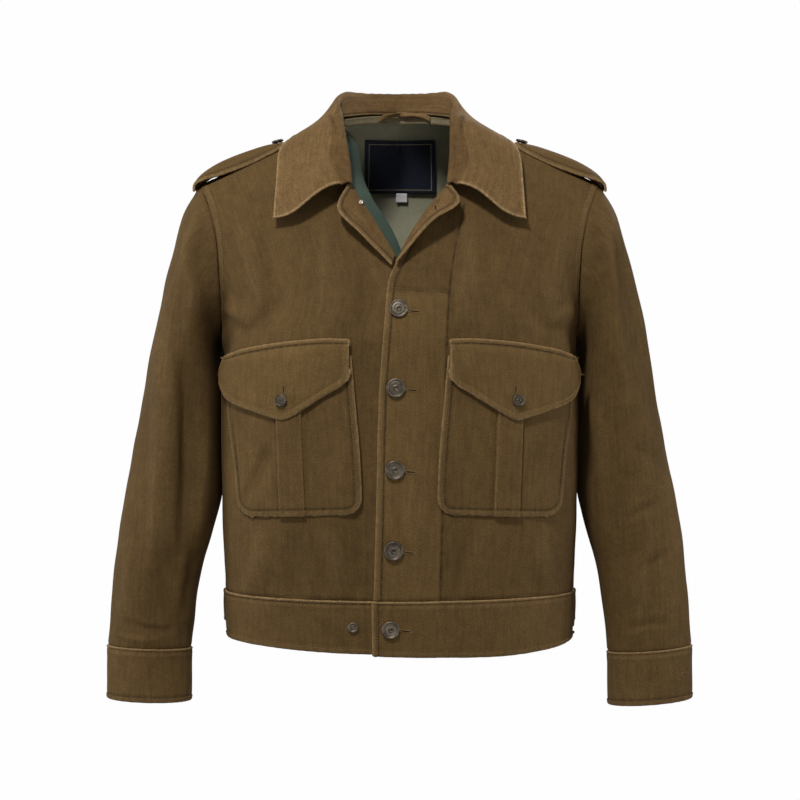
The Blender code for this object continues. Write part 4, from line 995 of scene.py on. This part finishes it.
def pocket(side):
    share = (1 - (1 - np.linspace(0, 1, POCKET_ROWS)) ** 1.7)[:, None]
    inner, outer = (smooth(POCKET_SIDES, share, name) for name in ("inner", "outer"))
    height = (1 - share) * (POCKET_TOP[0] - POCKET_BOTTOM[0])
    cut = CORNER - np.sqrt(CORNER ** 2 - np.clip(CORNER - height, 0, CORNER) ** 2)
    inner, outer = inner + cut, outer - cut
    folds = [blend(top, bottom, share) for top, bottom in zip(PLEAT_TOP, PLEAT_BOTTOM)]
    x = crowded(POCKET_COLUMNS, np.hstack([inner, *folds, outer]), 0.8)
    across = (x - inner) / (outer - inner)
    z = blend(blend(*POCKET_TOP, across), blend(*POCKET_BOTTOM, across), share)
    pleat = ease((x - folds[0]) / 1.2) * ease((folds[1] - x) / 1.2)
    grid = lifted(x, z, LAID_ON + CLOTH + PLEAT_RISE * pleat) * [side, 1, 1]
    cloth = sided("pocket", side, grid, CLOTH, TWILL, fade=0.05)
    beside = np.minimum(np.abs(x - folds[0]), np.abs(x - folds[1]))
    cloth.press(folded(grid[..., 0], grid[..., 2], POCKET_FOLDS)
                + 0.5 * ripple(grid, 48, 5 * side) + 0.5 * pleat - 0.6 * bell(beside, 1.0))
    cloth.wear_and_shading = np.maximum(cloth.wear_and_shading, 0.8 * pleat * bell(beside, 1.5))
    # painted shade beside the pleat's folds, where the cloth tucks under
    cloth.wear_and_shading = cloth.wear_and_shading - (1 - pleat) * bell(beside, 1.5)
    edge = sides_and_foot(cloth)
    cloth.hem(edge, "pocket", seed=1.1 * side)
    cloth.stitch("pockets", edge, HEMS["pocket"].inset)
    cloth.sew_on("laid", f"front_{SIDES[side]}")


def flap_low(x):
    return np.interp(x, *FLAP_EDGE.T)


def flap_rise(share):
    return DOUBLE + blend(LAID_ON, FLAP_STAND, ease(share / 0.22))


def flap(side):
    share = shares(FLAP_ROWS, 0.7)[:, None]
    x = crowded(FLAP_COLUMNS, [FLAP[0].x, FLAP_POINT_X, FLAP[-1].x], 0.7)
    z = blend(smooth(FLAP, x, "top"), flap_low(x), share)
    x = x - FLAP_TAPER * ease((x - 165) / 28) * ease((z - FLAP_EDGE[-1, 1]) / 22)
    grid = lifted(x, z, flap_rise(share)) * [side, 1, 1]
    cloth = sided("flap", side, grid, DOUBLE, TWILL, bulge=0.45, fade=0.42)
    cloth.cut = (arc(grid)[0, -1] * MM, *cloth.cut[1:])     # across its straight top
    cloth.press(folded(grid[..., 0], grid[..., 2], FLAP_FOLDS)
                + 0.4 * ripple(grid, 42, 2 * side))
    edge, upper = sides_and_foot(cloth), cloth.row(0)
    cloth.hem(edge, "flap", seed=0.4 * side)
    cloth.hem(upper, "flap_top", seed=1.4 * side)
    cloth.stitch("pockets", edge[12:-16], HEMS["flap"].inset)
    cloth.stitch("pockets", upper[6:-6], HEMS["flap_top"].inset)
    cloth.sew_on("laid", f"front_{SIDES[side]}", "worn_twill")
    return cloth


# ---- shoulder straps and side tabs ---------------------------------------------------

STRAP = table("at x z half_width front_sag back_sag", """
    0 130.5 -35.6 15 5 2; 1 138 -36.8 20 10 5; 2 152 -39.5 22 15 8; 3 168 -44.5 23 18 9;
    4 186 -51 24 18.5 9; 5 202 -58 24.5 17 8; 6 215 -65.5 25 13 7; 7 225 -73.5 25 8.5 6;
    8 230.5 -81.5 25 5 5; 9 231.5 -89 25 4 4""")
STRAP_AXIS = -60
STRAP_ROWS, STRAP_COLUMNS, TAB_ROWS, TAB_COLUMNS = 60, 30, 20, 34
TAB_LOW, TAB_HIGH, TAB_BACK_X, TAB_STAND = -576, -540, 168, 1.6


def strap_points(at, part):
    x, z, half, front, back = (smooth(STRAP, at, name) for name in STRAP[0]._fields[1:])
    sag = np.where(part < 0, front, back)
    return np.stack([x + 0 * part, STRAP_AXIS + part * half, z - sag * part * part], -1)


def epaulette(side):
    at = shares(STRAP_ROWS, 0.3, 0, STRAP[-1].at)[:, None]
    grid = strap_points(at, shares(STRAP_COLUMNS, 0.6, -1, 1)[None]) * [side, 1, 1]
    cloth = sided("epaulette", side, grid, DOUBLE, TWILL, bulge=0.45, fade=0.2)
    edge = cloth.column(0)[::-1] + cloth.row(0, 1) + cloth.column(-1, 1)
    cloth.hem(edge, "strap", seed=side)
    cloth.stitch("straps", edge, HEMS["strap"].inset)
    cloth.sew_on("laid", f"sleeve_{SIDES[side]}")


def side_tab(side):
    share = shares(TAB_ROWS, 0.5)[:, None]
    z = blend(TAB_LOW, TAB_HIGH, share)
    width = smooth(TORSO, z, "half_width")
    x = blend(width - 0.5, TAB_BACK_X + 4 * (2 * share - 1) ** 2,
              np.linspace(0, 1, 200)[None] ** 1.6)
    lines = lifted_round_side(x, z + 0 * x, width, BAND_PROUD + LAID_ON + DOUBLE, True)
    grid = np.stack([along(line, TAB_COLUMNS) for line in lines]) * [side, 1, 1]
    cloth = sided("tab", side, grid, DOUBLE, TWILL, flip=RIGHT, bulge=0.4, fade=0.15)
    loose = (TAB_COLUMNS - 8 - np.arange(TAB_COLUMNS)) / (TAB_COLUMNS - 12)
    cloth.raise_by(TAB_STAND * ease(loose))
    edge = cloth.row(0) + cloth.column(-1, 1) + cloth.row(-1)[::-1]
    cloth.hem(edge, "tab", seed=side)
    cloth.stitch("band", edge[8:-8], HEMS["tab"].inset)
    cloth.sew_on("laid", "waistband_back")


# ---- inside the neck -----------------------------------------------------------------

LABEL_DEPTH = CLOTH + 2.2 * LINING_GAP + 2 * LINING
TAPE_HEIGHT, TAPE_REACH, TAPE_DEPTH = 8, 65, 4.3
LOOP = table("x rise", "-27 -5; -20 -1.5; -5 1; 12 1.5; 28 0.5; 38 -4")
LOOP_WIDTH = 5.4
# A strip of lining beside the wearer's right lapel; its darker green colour is painted shade of
# the khaki lining.
LINING_FRONT = table("share out_x out_z in_x in_y in_z", """
    0 73 -24 57 -24 -24; 0.14 69 -44 47 -46 -42; 0.34 59 -72 42 -84 -76;
    0.54 48 -104 31 -118 -104; 0.78 27 -138 8 -132 -142; 1 8 -172 -4 -146 -172""")


def patch(node, x_ends, z_ends, finish, slot, columns, rows):
    x, z = np.meshgrid(np.linspace(*x_ends, columns), np.linspace(*z_ends, rows))
    cloth = Cloth(node, lifted(x, z, -LABEL_DEPTH, True), 1.0, finish, bulge=0.35)
    cloth.sew_on("laid", "lining_back", slot)


def neck_inside(x, depth, rise):
    """Points beside the back neck seam: depth is inward from it, rise is upward."""
    def seam(at):
        return surface(at, smooth(BACK_NECK, np.abs(at), "z"), True)

    run = seam(x + 1) - seam(x - 1)
    inner = unit(np.stack([run[..., 1], -run[..., 0], 0 * x], -1))
    return seam(x) + inner * np.asarray(depth)[..., None] + UP * rise[..., None]


def neck_tape():
    x, rise = np.meshgrid(np.linspace(-TAPE_REACH, TAPE_REACH, 90),
                          np.linspace(-TAPE_HEIGHT - SEAM, -SEAM, 10))
    cloth = Cloth("neck_tape", neck_inside(x, TAPE_DEPTH, rise), 1.0, TAPE, bulge=0.4,
                  fade=0.35)
    for row in (0, -1):
        cloth.stitch("neck", cloth.row(row), 1.2)
    cloth.sew_on("laid", "back", "worn_twill")


def hanger_loop():
    """A narrow folded strip that leaves the tape, twists once and returns to it."""
    x = np.linspace(LOOP[0].x, LOOP[-1].x, 80)
    share, edge = np.linspace(0, 1, 80), np.linspace(-1, 1, 12)[:, None]
    twist = 0.9 * np.sin(2 * np.pi * share) * ease(4 * share) * ease(4 - 4 * share)
    rise = smooth(LOOP, x, "rise") + LOOP_WIDTH / 2 - 2 + edge * LOOP_WIDTH / 2 * np.cos(twist)
    depth = (TAPE_DEPTH + 2.4 + 1.5 * np.sin(np.pi * share)
             + edge * LOOP_WIDTH / 2 * np.sin(twist) + 0.5 * (1 - edge ** 2))
    grid = neck_inside(x + 0 * edge, depth, rise)
    cloth = Cloth("hanger_loop", grid, 1.2, WORN, bulge=0.5, fade=0.6)
    for row in (0, -1):
        cloth.stitch("neck", cloth.row(row), 1.0)
    cloth.sew_on("folded", "neck_tape", "worn_twill")


def lining_front():
    share = np.linspace(0, 1, 84)
    out_x, out_z, *inner = (
        smooth(LINING_FRONT, share, name) for name in LINING_FRONT[0]._fields[1:])
    outer = lifted(out_x, out_z, -(CLOTH + 2 * LAID_ON))[:, None]
    part = np.linspace(0, 1, 20)[None, :, None]
    grid = blend(outer, np.stack(inner, -1)[:, None], part) * [-1, 1, 1]
    cloth = Cloth("lining_front", grid, 1.0, PAINTED_SHADE_LINING, bulge=0.4)
    cloth.raise_by(0.3 * ripple(grid, 26, 2))
    cloth.sew_on("hung", "front_right", "green_lining")


# ---- sewing --------------------------------------------------------------------------

STITCH_PITCH, STITCH_LENGTH, STITCH_RADIUS, THREAD_SIDES = 3.1, 2.3, 0.4, 6
JUMP = 6                # a line of stitches breaks where its points are further apart
THREAD_ENDS = ((0, 0, -0.6), (0.2, 0.85, 0.15), (0.8, 0.85, 0.15), (1, 0, -0.6))
ACROSS, UPRIGHT = (1.0, -0.12), (0.0, 1.0)      # ways in which a buttonhole lies


def stitch_mesh(starts, ends, ways, radius=STITCH_RADIUS, arch=0.2):
    """Small rounded threads from start to end, as points and faces."""
    turn = np.arange(THREAD_SIDES) * 2 * np.pi / THREAD_SIDES
    run = ends - starts
    across = unit(np.cross(ways, run))
    ring = across[:, None] * np.cos(turn)[:, None] + ways[:, None] * np.sin(turn)[:, None] * 0.8
    points = []
    for share, size, rise in THREAD_ENDS:
        lift = radius * rise + arch * (0 < share < 1)
        middle = (starts + run * share + ways * lift)[:, None]
        points.append(middle + ring * radius * size if size else middle)
    points = np.concatenate(points, 1)
    each, faces = points.shape[1], []
    for number in range(THREAD_SIDES):
        low, next_low = 1 + number, 1 + (number + 1) % THREAD_SIDES
        high, next_high = low + THREAD_SIDES, next_low + THREAD_SIDES
        faces += [[0, next_low, low], [low, next_low, next_high, high],
                  [each - 1, high, next_high]]
    every = [[corner + each * piece for corner in face]
             for piece in range(len(starts)) for face in faces]
    return points.reshape(-1, 3), every


def sew(name, lines):
    """Threads of even length along each line."""
    threads = []
    for points, ways in lines:
        if len(points) < 3:
            continue
        breaks = np.flatnonzero(np.linalg.norm(np.diff(points, axis=0), axis=1) > JUMP) + 1
        for run, way in zip(np.split(points, breaks), np.split(ways, breaks)):
            at = arc(run)
            if len(run) > 1 and at[-1] >= STITCH_PITCH:
                first = np.arange(0, at[-1] - STITCH_LENGTH, STITCH_PITCH)
                threads.append((spread(first, at, run), spread(first + STITCH_LENGTH, at, run),
                                unit(spread(first, at, way))))
    points, faces = stitch_mesh(*map(np.concatenate, zip(*threads)))
    mesh_piece(name, points, faces, THREAD)


def buttonhole(cloth, x, z, length, way):
    """A worked hole: close stitches round a slit, whose dark thread is painted shade. Gives its
    threads, then its slit.
    """
    centre, way = np.array([x, z]), np.array(way)
    side = np.array([-way[1], way[0]])
    starts, ends = [], []
    for sign in (-1, 1):
        for step in np.arange(0, length, 0.62):
            starts.append(centre + way * step + side * sign * 0.35)
            ends.append(centre + way * step + side * sign * 1.7)
    for sign, middle in ((-1, centre), (1, centre + way * length)):
        for turn in np.linspace(-1.2, 1.2, 5):
            out = way * sign * math.cos(turn) + side * math.sin(turn)
            starts.append(middle + out * 0.4)
            ends.append(middle + out * 1.8)
    near, ways = cloth.settle(cloth.on_front(starts))
    far, _ = cloth.settle(cloth.on_front(ends))
    slit, slit_ways = cloth.settle(cloth.on_front([centre, centre + way * length]))
    return (near, far, ways), (slit[:1], slit[1:], slit_ways[:1])


def worked_holes(cloths):
    holes = [("front_left", row.x + row.radius + 1.2, row.z - 1.5, 11, ACROSS)
             for row in FRONT_BUTTONS[:-1]]
    last = FRONT_BUTTONS[-1]
    holes.append(("band_left", last.x + last.radius + 1.2, -574.5, 11, ACROSS))
    for side, name in SIDES.items():
        holes.append((f"flap_{name}", side * FLAP_POINT_X, SMALL_Z + 8, 8, UPRIGHT))
    holes.append(("cuff_left", 312, -629, 8, ACROSS))
    holes.append(("lapel_left", 38, -120, 7, UPRIGHT))
    threads, slits = zip(*(buttonhole(cloths[node], *hole) for node, *hole in holes))
    for name, parts, radius, finish in (("buttonhole_stitches", threads, 0.42, THREAD),
                                        ("buttonhole_slits", slits, 0.6, SLIT_SHADE)):
        points, faces = stitch_mesh(*map(np.concatenate, zip(*parts)), radius, arch=0.1)
        mesh_piece(name, points, faces, finish)


# ---- hardware ------------------------------------------------------------------------

FRONT_BUTTONS = table("x z radius", "-1 -229.5 10.2; -4 -314.5 10.6; -5 -402 10.6;"
                      "-6.5 -488.5 10.6; -9.7 -573.5 9.6")
SMALL_RADIUS, SMALL_Z = 6.8, -328       # of the flap and strap buttons; z on the flaps
STRAP_BUTTON_AT, STRAP_LEAN = 0.95, 0.25
# A flat back, rolled rim, ring groove and dished middle; share is of the radius.
BUTTON = table("share height", """
    0 0; 0.5 0; 0.8 0.02; 0.93 0.3; 0.99 0.75; 1.0 1.2; 0.985 1.8; 0.945 2.35; 0.885 2.6;
    0.82 2.5; 0.775 2.15; 0.745 1.75; 0.71 1.65; 0.68 1.75; 0.66 1.85; 0.5 1.8; 0.36 1.72;
    0.3 1.75; 0.27 2.05; 0.235 2.2; 0.19 2.1; 0.16 1.6; 0.13 0.8; 0 0.7""")
STUD = table("radius height", """
    0 0; 4.6 0; 5.4 0.3; 5.8 0.9; 5.5 1.5; 4.7 1.8; 3.9 1.6; 3.2 1.1; 2.7 0.7; 2.3 0.9;
    1.9 1.2; 1.2 1.3; 0 1.3""")


def turned(node, centre, axis, profile, finish, segments):
    """A round piece: profile rows are radius and height from the back to the front."""
    axis = Vector(axis).normalized()
    side = axis.orthogonal().normalized()
    up = axis.cross(side)
    axis, side, up = (np.array(vector) for vector in (axis, side, up))
    turn = np.arange(segments) * 2 * np.pi / segments
    ring = side * np.cos(turn)[:, None] + up * np.sin(turn)[:, None]
    points = [centre + axis * profile[0][1]]
    for radius, height in profile[1:-1]:
        points.extend(centre + axis * height + ring * radius)
    points.append(centre + axis * profile[-1][1])
    faces, last, top = [], len(points) - 1, 1 + (len(profile) - 3) * segments
    for step in range(segments):
        after = (step + 1) % segments
        faces.append([0, 1 + after, 1 + step])
        faces.append([last, top + step, top + after])
        for low in range(1, top, segments):
            high = low + segments
            faces.append([low + step, low + after, high + after, high + step])
    made = mesh_piece(f"{node}_metal", points, faces, finish)
    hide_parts(node)


def buttons():
    for number, row in enumerate(FRONT_BUTTONS, 1):
        proud = BAND_LAP + BAND_PROUD if row is FRONT_BUTTONS[-1] else LAP
        turned(f"button_{number}", lifted(row.x, row.z, proud + LAID_ON),
               outward(row.x, row.z), [(share * row.radius, height) for share, height in BUTTON],
               METAL, 56)
    top, low = smooth(FLAP, FLAP_POINT_X, "top"), flap_low(FLAP_POINT_X)
    rise = flap_rise((SMALL_Z - top) / (low - top)) + LAID_ON
    lean = np.array([STRAP_LEAN, 0, 1]) / math.hypot(STRAP_LEAN, 1)
    small = [(share * SMALL_RADIUS, height) for share, height in BUTTON]
    for side, name in SIDES.items():
        mirror = np.array([side, 1, 1])
        for kind, base, way in (
                ("flap", lifted(FLAP_POINT_X, SMALL_Z, rise), outward(FLAP_POINT_X, SMALL_Z)),
                ("strap", strap_points(STRAP_BUTTON_AT, np.array(0.0)) + lean * LAID_ON, lean)):
            turned(f"button_{kind}_{name}", base * mirror, way * mirror, small, METAL, 44)


def studs():
    turned("waistband_stud", lifted(-50, -571.5, BAND_PROUD + LAID_ON),
           outward(-50, -571.5), STUD, METAL, 40)
    turned("neck_stud", lifted(-42, -113, LAID_ON + DOUBLE + 1.8), outward(-42, -113),
           [(radius * 0.45, height * 0.8) for radius, height in STUD], BRIGHT, 28)


# ---- materials -----------------------------------------------------------------------

class Nodes:
    """Short calls for a material's nodes."""

    def __init__(self, name):
        self.material = bpy.data.materials.new(name)
        self.material.use_nodes = True
        self.tree = self.material.node_tree
        self.inputs = self.tree.nodes["Principled BSDF"].inputs

    def add(self, kind, settings=(), output=0, **inputs):
        """A new node's output; an input is named, or numbered as _0, _1 and so on."""
        node = self.tree.nodes.new(kind)
        for key, value in dict(settings).items():
            setattr(node, key, value)
        for key, value in inputs.items():
            self.join(value, node.inputs[int(key[1:]) if key[1:].isdigit() else key])
        return node.outputs[output]

    def join(self, value, socket):
        if isinstance(value, bpy.types.NodeSocket):
            self.tree.links.new(value, socket)
        else:
            socket.default_value = value

    def plus(self, first, second):
        return self.add("ShaderNodeMath", {"operation": "ADD"}, _0=first, _1=second)

    def times(self, first, second):
        return self.add("ShaderNodeMath", {"operation": "MULTIPLY"}, _0=first, _1=second)

    def attribute(self, name, output="Fac"):
        return self.add("ShaderNodeAttribute", {"attribute_name": name}, output)

    def noise(self, scale, detail, roughness, place=None):
        place = place or self.add("ShaderNodeTexCoord", output="Object")
        return self.add("ShaderNodeTexNoise", output="Fac", Vector=place, Scale=scale,
                        Detail=detail, Roughness=roughness)

    def between(self, value, low, high, to_low=0.0, to_high=1.0):
        return self.add("ShaderNodeMapRange", {"clamp": True}, _0=value, _1=low, _2=high,
                        _3=to_low, _4=to_high)

    def mix(self, share, first, second, blend_type="MIX"):
        return self.add("ShaderNodeMix", {"data_type": "RGBA", "blend_type": blend_type},
                        2, _0=share, _6=first, _7=second)

    def wave(self, place, angle, pitch, distortion=0.6):
        place = self.add("ShaderNodeMapping", Vector=place, Rotation=(0, 0, angle))
        return self.add("ShaderNodeTexWave", {"bands_direction": "X"}, "Fac", Vector=place,
                        Scale=math.pi / 10 / pitch, Distortion=distortion, Detail=1.5)

    def bump(self, height, strength, distance, **more):
        return self.add("ShaderNodeBump", Height=height, Strength=strength,
                        Distance=distance, **more)

    def set(self, **values):
        for key, value in values.items():
            self.inputs[key.replace("_", " ")].default_value = value


def cloth_finish(name, dark, light, worn, pitch=0.0011, angle=0.62, rough=0.88,
                 sheen=0.12, bump=0.35, grain=1.0):
    """Twill: fine slanted ribs, a mottled faded dye, pale worn edges, painted highlight and
    shade.
    """
    nodes = Nodes(name)
    plus, times, between, noise = nodes.plus, nodes.times, nodes.between, nodes.noise
    place = nodes.attribute("weave", "Vector")
    ribs = nodes.wave(place, angle, pitch)
    threads = nodes.wave(place, angle + math.pi / 2, pitch * 0.62, 1.2)
    slub = noise(520, 2, 0.7, place)
    upright = nodes.add("ShaderNodeMapping", Vector=place, Scale=(1, 0.1, 1))
    streak = noise(260, 3, 0.6, upright)
    tone = plus(times(noise(8, 3, 0.55), 0.5), times(noise(90, 4, 0.65), 0.5))
    # The faded-dye mark also carries painted shade from the lapel on the left front.
    tone = plus(between(tone, 0.36, 0.64, 0, 0.6), nodes.attribute("fade"))
    colour = nodes.mix(between(tone, 0, 1), (*dark, 1), (*light, 1))
    fine = times(between(slub, 0.3, 0.7, 1 - 0.2 * grain, 1 + 0.2 * grain),
                 between(ribs, 0, 1, 1 - 0.12 * grain, 1 + 0.1 * grain))
    fine = times(fine, between(streak, 0.3, 0.7, 1 - 0.12 * grain, 1 + 0.12 * grain))
    wear_and_shading = nodes.attribute("wear_and_shading")
    # Paler where the wear mark is above zero: rubbed edges, paler seam bands, and painted
    # highlight on fold ridges.
    paling = times(wear_and_shading, between(noise(230, 3, 0.6), 0.3, 0.7, 0.4, 1.2))
    colour = nodes.mix(between(paling, 0.02, 1.0, 0, 0.85), colour, (*worn, 1))
    # Darker where the wear mark is below zero: painted shade in grooves, seams, fold troughs and
    # beside pleats.
    fine = times(fine, between(wear_and_shading, -0.8, 0, 0.38, 1))
    fine = nodes.add("ShaderNodeCombineColor", _0=fine, _1=fine, _2=fine)
    nodes.join(nodes.mix(1.0, colour, fine, "MULTIPLY"), nodes.inputs["Base Color"])
    height = plus(plus(times(ribs, 0.65), times(threads, 0.35)), times(slub, 0.5))
    relief = nodes.bump(height, bump, 0.0003)
    nodes.join(nodes.bump(noise(130, 3, 0.6), 0.22, 0.0012, Normal=relief),
               nodes.inputs["Normal"])
    nodes.set(Roughness=rough, Specular_IOR_Level=0.25, Sheen_Weight=sheen,
              Sheen_Roughness=0.5, Sheen_Tint=(*light, 1))
    return nodes.material


def plain_finish(name, dark, light, rough, metallic=0.0, scale=300, bump=0.15, spec=0.5):
    """Thread or metal: a fine mottle of two colours that is also its gloss and relief."""
    nodes = Nodes(name)
    grain = nodes.noise(scale, 4, 0.6)
    share = nodes.plus(nodes.times(grain, 0.6), nodes.times(nodes.noise(scale / 9, 2, 0.5), 0.5))
    colour = nodes.mix(nodes.between(share, 0.35, 0.75), (*dark, 1), (*light, 1))
    nodes.join(colour, nodes.inputs["Base Color"])
    nodes.join(nodes.between(grain, 0.3, 0.7, rough * 0.8, min(rough * 1.2, 1)),
               nodes.inputs["Roughness"])
    nodes.join(nodes.bump(grain, bump, 0.0002), nodes.inputs["Normal"])
    nodes.set(Metallic=metallic, Specular_IOR_Level=spec)
    return nodes.material


TWILL = cloth_finish("twill", (0.094, 0.053, 0.0155), (0.162, 0.096, 0.031),
                     (0.33, 0.215, 0.098), grain=1.15)
WORN = cloth_finish("worn_twill", (0.108, 0.059, 0.019), (0.225, 0.133, 0.05),
                    (0.40, 0.265, 0.125), grain=1.4)
TAPE = cloth_finish("neck_tape_twill", (0.16, 0.125, 0.07), (0.26, 0.215, 0.13),
                    (0.3, 0.25, 0.16), pitch=0.0008, rough=0.7)
KHAKI = cloth_finish("khaki_lining", (0.30, 0.285, 0.19), (0.40, 0.38, 0.26),
                     (0.4, 0.38, 0.27), pitch=0.0005, rough=0.5, bump=0.1, grain=0.3)
# darker green copy of the khaki lining: painted shade, for the front lining strip
PAINTED_SHADE_LINING = cloth_finish("green_lining", (0.058, 0.088, 0.068), (0.088, 0.122, 0.092),
                     (0.13, 0.15, 0.12), pitch=0.0005, rough=0.45, bump=0.1, grain=0.3)
LABEL = cloth_finish("label", (0.017, 0.021, 0.034), (0.026, 0.031, 0.05),
                     (0.05, 0.055, 0.07), pitch=0.0004, rough=0.6, bump=0.15, grain=0.5)
WHITE = cloth_finish("white_tape", (0.85, 0.85, 0.83), (0.92, 0.92, 0.9),
                     (0.92, 0.92, 0.9), pitch=0.0005, rough=0.7, bump=0.1, grain=0.2)
THREAD = plain_finish("thread", (0.13, 0.075, 0.026), (0.26, 0.165, 0.07), 0.75, scale=900,
                      spec=0.3)
# nearly black: painted shade in the buttonholes' cuts
SLIT_SHADE = plain_finish("buttonhole_slit", (0.006, 0.004, 0.002), (0.014, 0.009, 0.005), 0.9,
                    scale=900, spec=0.1)
GOLD = plain_finish("gold_thread", (0.26, 0.22, 0.14), (0.42, 0.36, 0.24), 0.6, scale=900,
                    spec=0.4)
METAL = plain_finish("antique_metal", (0.05, 0.039, 0.028), (0.21, 0.17, 0.125), 0.46,
                     metallic=0.75, scale=420, bump=0.1)
BRIGHT = plain_finish("worn_metal", (0.35, 0.3, 0.22), (0.6, 0.55, 0.45), 0.35,
                      metallic=0.9, scale=400, bump=0.2)

# ---- label, camera and studio --------------------------------------------------------

LABEL_X, LABEL_Z = (-42, 43), (-82, -22)        # ends of the neck label
SIZE_X, SIZE_Z = (-4.5, 9), (-93, -83)          # and of the size tab
BORDER = table("x0 x1 z0 z1", "-38 39 -26.2 -25.4; -38 39 -78.6 -77.8; -38 -37.2 -78.6 -25.4;"
               "38.2 39 -78.6 -25.4")
VIEW_HEIGHT, VIEW_AWAY, VIEW_ASIDE, LENS = -0.327, -2.56, 0.0004, 99.56
WHITE_WORLD, WORLD_LIGHT = (0.99, 0.99, 0.99, 1), 0.16
FLOOR_REACH, FLOOR_LEVEL = 9.0, -1.15
LIGHTS = (      # name, place, height that it is aimed at, size and power
    ("key", (-0.8, -1.9, 2.3), -0.3, 0.45, 75), ("front", (0.4, -1.9, -1.3), -0.4, 0.7, 19),
    ("left", (-2.8, -0.35, -0.3), -0.4, 1.0, 30), ("right", (2.8, -0.35, -0.3), -0.4, 1.0, 27),
    ("back_key", (0.9, 2.5, 1.7), -0.3, 1.4, 48),
    ("back_fill", (-1.9, 2.3, 0.1), -0.35, 1.8, 10))


def label_border():
    """A thin woven line round the bare label."""
    points, faces = [], []
    for bar in BORDER:
        x, z = np.meshgrid(*(np.linspace(low, high, max(int((high - low) / 4), 1) + 1)
                             for low, high in (bar[:2], bar[2:])))
        rows, columns = x.shape
        first = len(points) + np.add.outer(np.arange(rows - 1) * columns, np.arange(columns - 1))
        faces += (first.reshape(-1, 1) + [0, 1, columns + 1, columns]).tolist()
        points.extend(lifted(x, z, -LABEL_DEPTH - 0.12, True).reshape(-1, 3))
    mesh_piece("label_border", points, faces, GOLD)


def placed(name, data, place=(0, 0, 0)):
    made = bpy.data.objects.new(name, data)
    made.location = place
    bpy.context.scene.collection.objects.link(made)
    return made


def make_camera():
    camera = placed("camera", bpy.data.cameras.new("camera"),
                    (VIEW_ASIDE, VIEW_AWAY, VIEW_HEIGHT))
    camera.data.lens = LENS
    camera.rotation_euler = (math.radians(90), 0, 0)
    bpy.context.scene.camera = camera


def studio():
    scene = bpy.context.scene
    scene.view_settings.view_transform = "Standard"
    scene.world = bpy.data.worlds.new("studio")
    scene.world.use_nodes = True
    tree = scene.world.node_tree
    backdrop = tree.nodes["Background"]
    backdrop.inputs[0].default_value = WHITE_WORLD
    seen = tree.nodes.new("ShaderNodeLightPath")
    strength = tree.nodes.new("ShaderNodeMapRange")
    strength.inputs[3].default_value = WORLD_LIGHT
    strength.inputs[4].default_value = 1.0
    tree.links.new(seen.outputs["Is Camera Ray"], strength.inputs[0])
    tree.links.new(strength.outputs[0], backdrop.inputs[1])
    for name, place, aim, size, power in LIGHTS:
        lamp = bpy.data.lights.new(name, "AREA")
        lamp.size, lamp.energy = size, power
        way = Vector((0, 0, aim)) - Vector(place)
        placed(name, lamp, place).rotation_euler = way.to_track_quat("-Z", "Y").to_euler()
    floor = bpy.data.materials.new("floor")
    floor.use_nodes = True
    inputs = floor.node_tree.nodes["Principled BSDF"].inputs
    inputs["Base Color"].default_value = (0, 0, 0, 1)
    inputs["Specular IOR Level"].default_value = 0
    inputs["Emission Color"].default_value = WHITE_WORLD
    inputs["Emission Strength"].default_value = 1.0
    mesh = bpy.data.meshes.new("floor")
    corners = [(x * FLOOR_REACH, y * FLOOR_REACH, FLOOR_LEVEL)
               for x, y in ((-1, -1), (1, -1), (1, 1), (-1, 1))]
    mesh.from_pydata(corners, [], [(0, 1, 2, 3)])
    mesh.materials.append(floor)
    plane = placed("floor", mesh)
    plane.visible_diffuse = plane.visible_glossy = False


# ---- the whole jacket ----------------------------------------------------------------

def build():
    make_camera()
    cloths = {}
    for side, name in SIDES.items():
        cloths[f"front_{name}"] = front_panel(side)
        cloths[f"lapel_{name}"] = lapel(side)
        sleeve(side)
        cloths[f"cuff_{name}"] = cuff(side)
        pocket(side)
        cloths[f"flap_{name}"] = flap(side)
        epaulette(side)
        side_tab(side)
    back_panel()
    lining_back()
    width = smooth(TORSO, WAIST_Z, "half_width")
    cloths["band_left"] = waistband("left", LEFT_CLOSURE[0].x / width, 1, 90)
    waistband("right", -1, RIGHT_CLOSURE_X / width, 84)
    waistband("back", 1, -1, 130)
    collar()
    patch("neck_label", LABEL_X, LABEL_Z, LABEL, "label", 40, 28)
    patch("size_tab", SIZE_X, SIZE_Z, WHITE, "white_tape", 12, 10)
    label_border()
    neck_tape()
    hanger_loop()
    lining_front()
    for group, lines in SEWN.items():
        sew(f"stitching_{group}", lines)
    worked_holes(cloths)
    buttons()
    studs()
    studio()


SMALLEST_CUT, LEAST_FILL = 0.01, 0.31   # metres, and area as a share of the rectangle

build()
for made, (width, length, area), held, rests_on in SHEETS:
    width, length = max(width, SMALLEST_CUT), max(length, SMALLEST_CUT)
    area = max(area, LEAST_FILL * width * length)
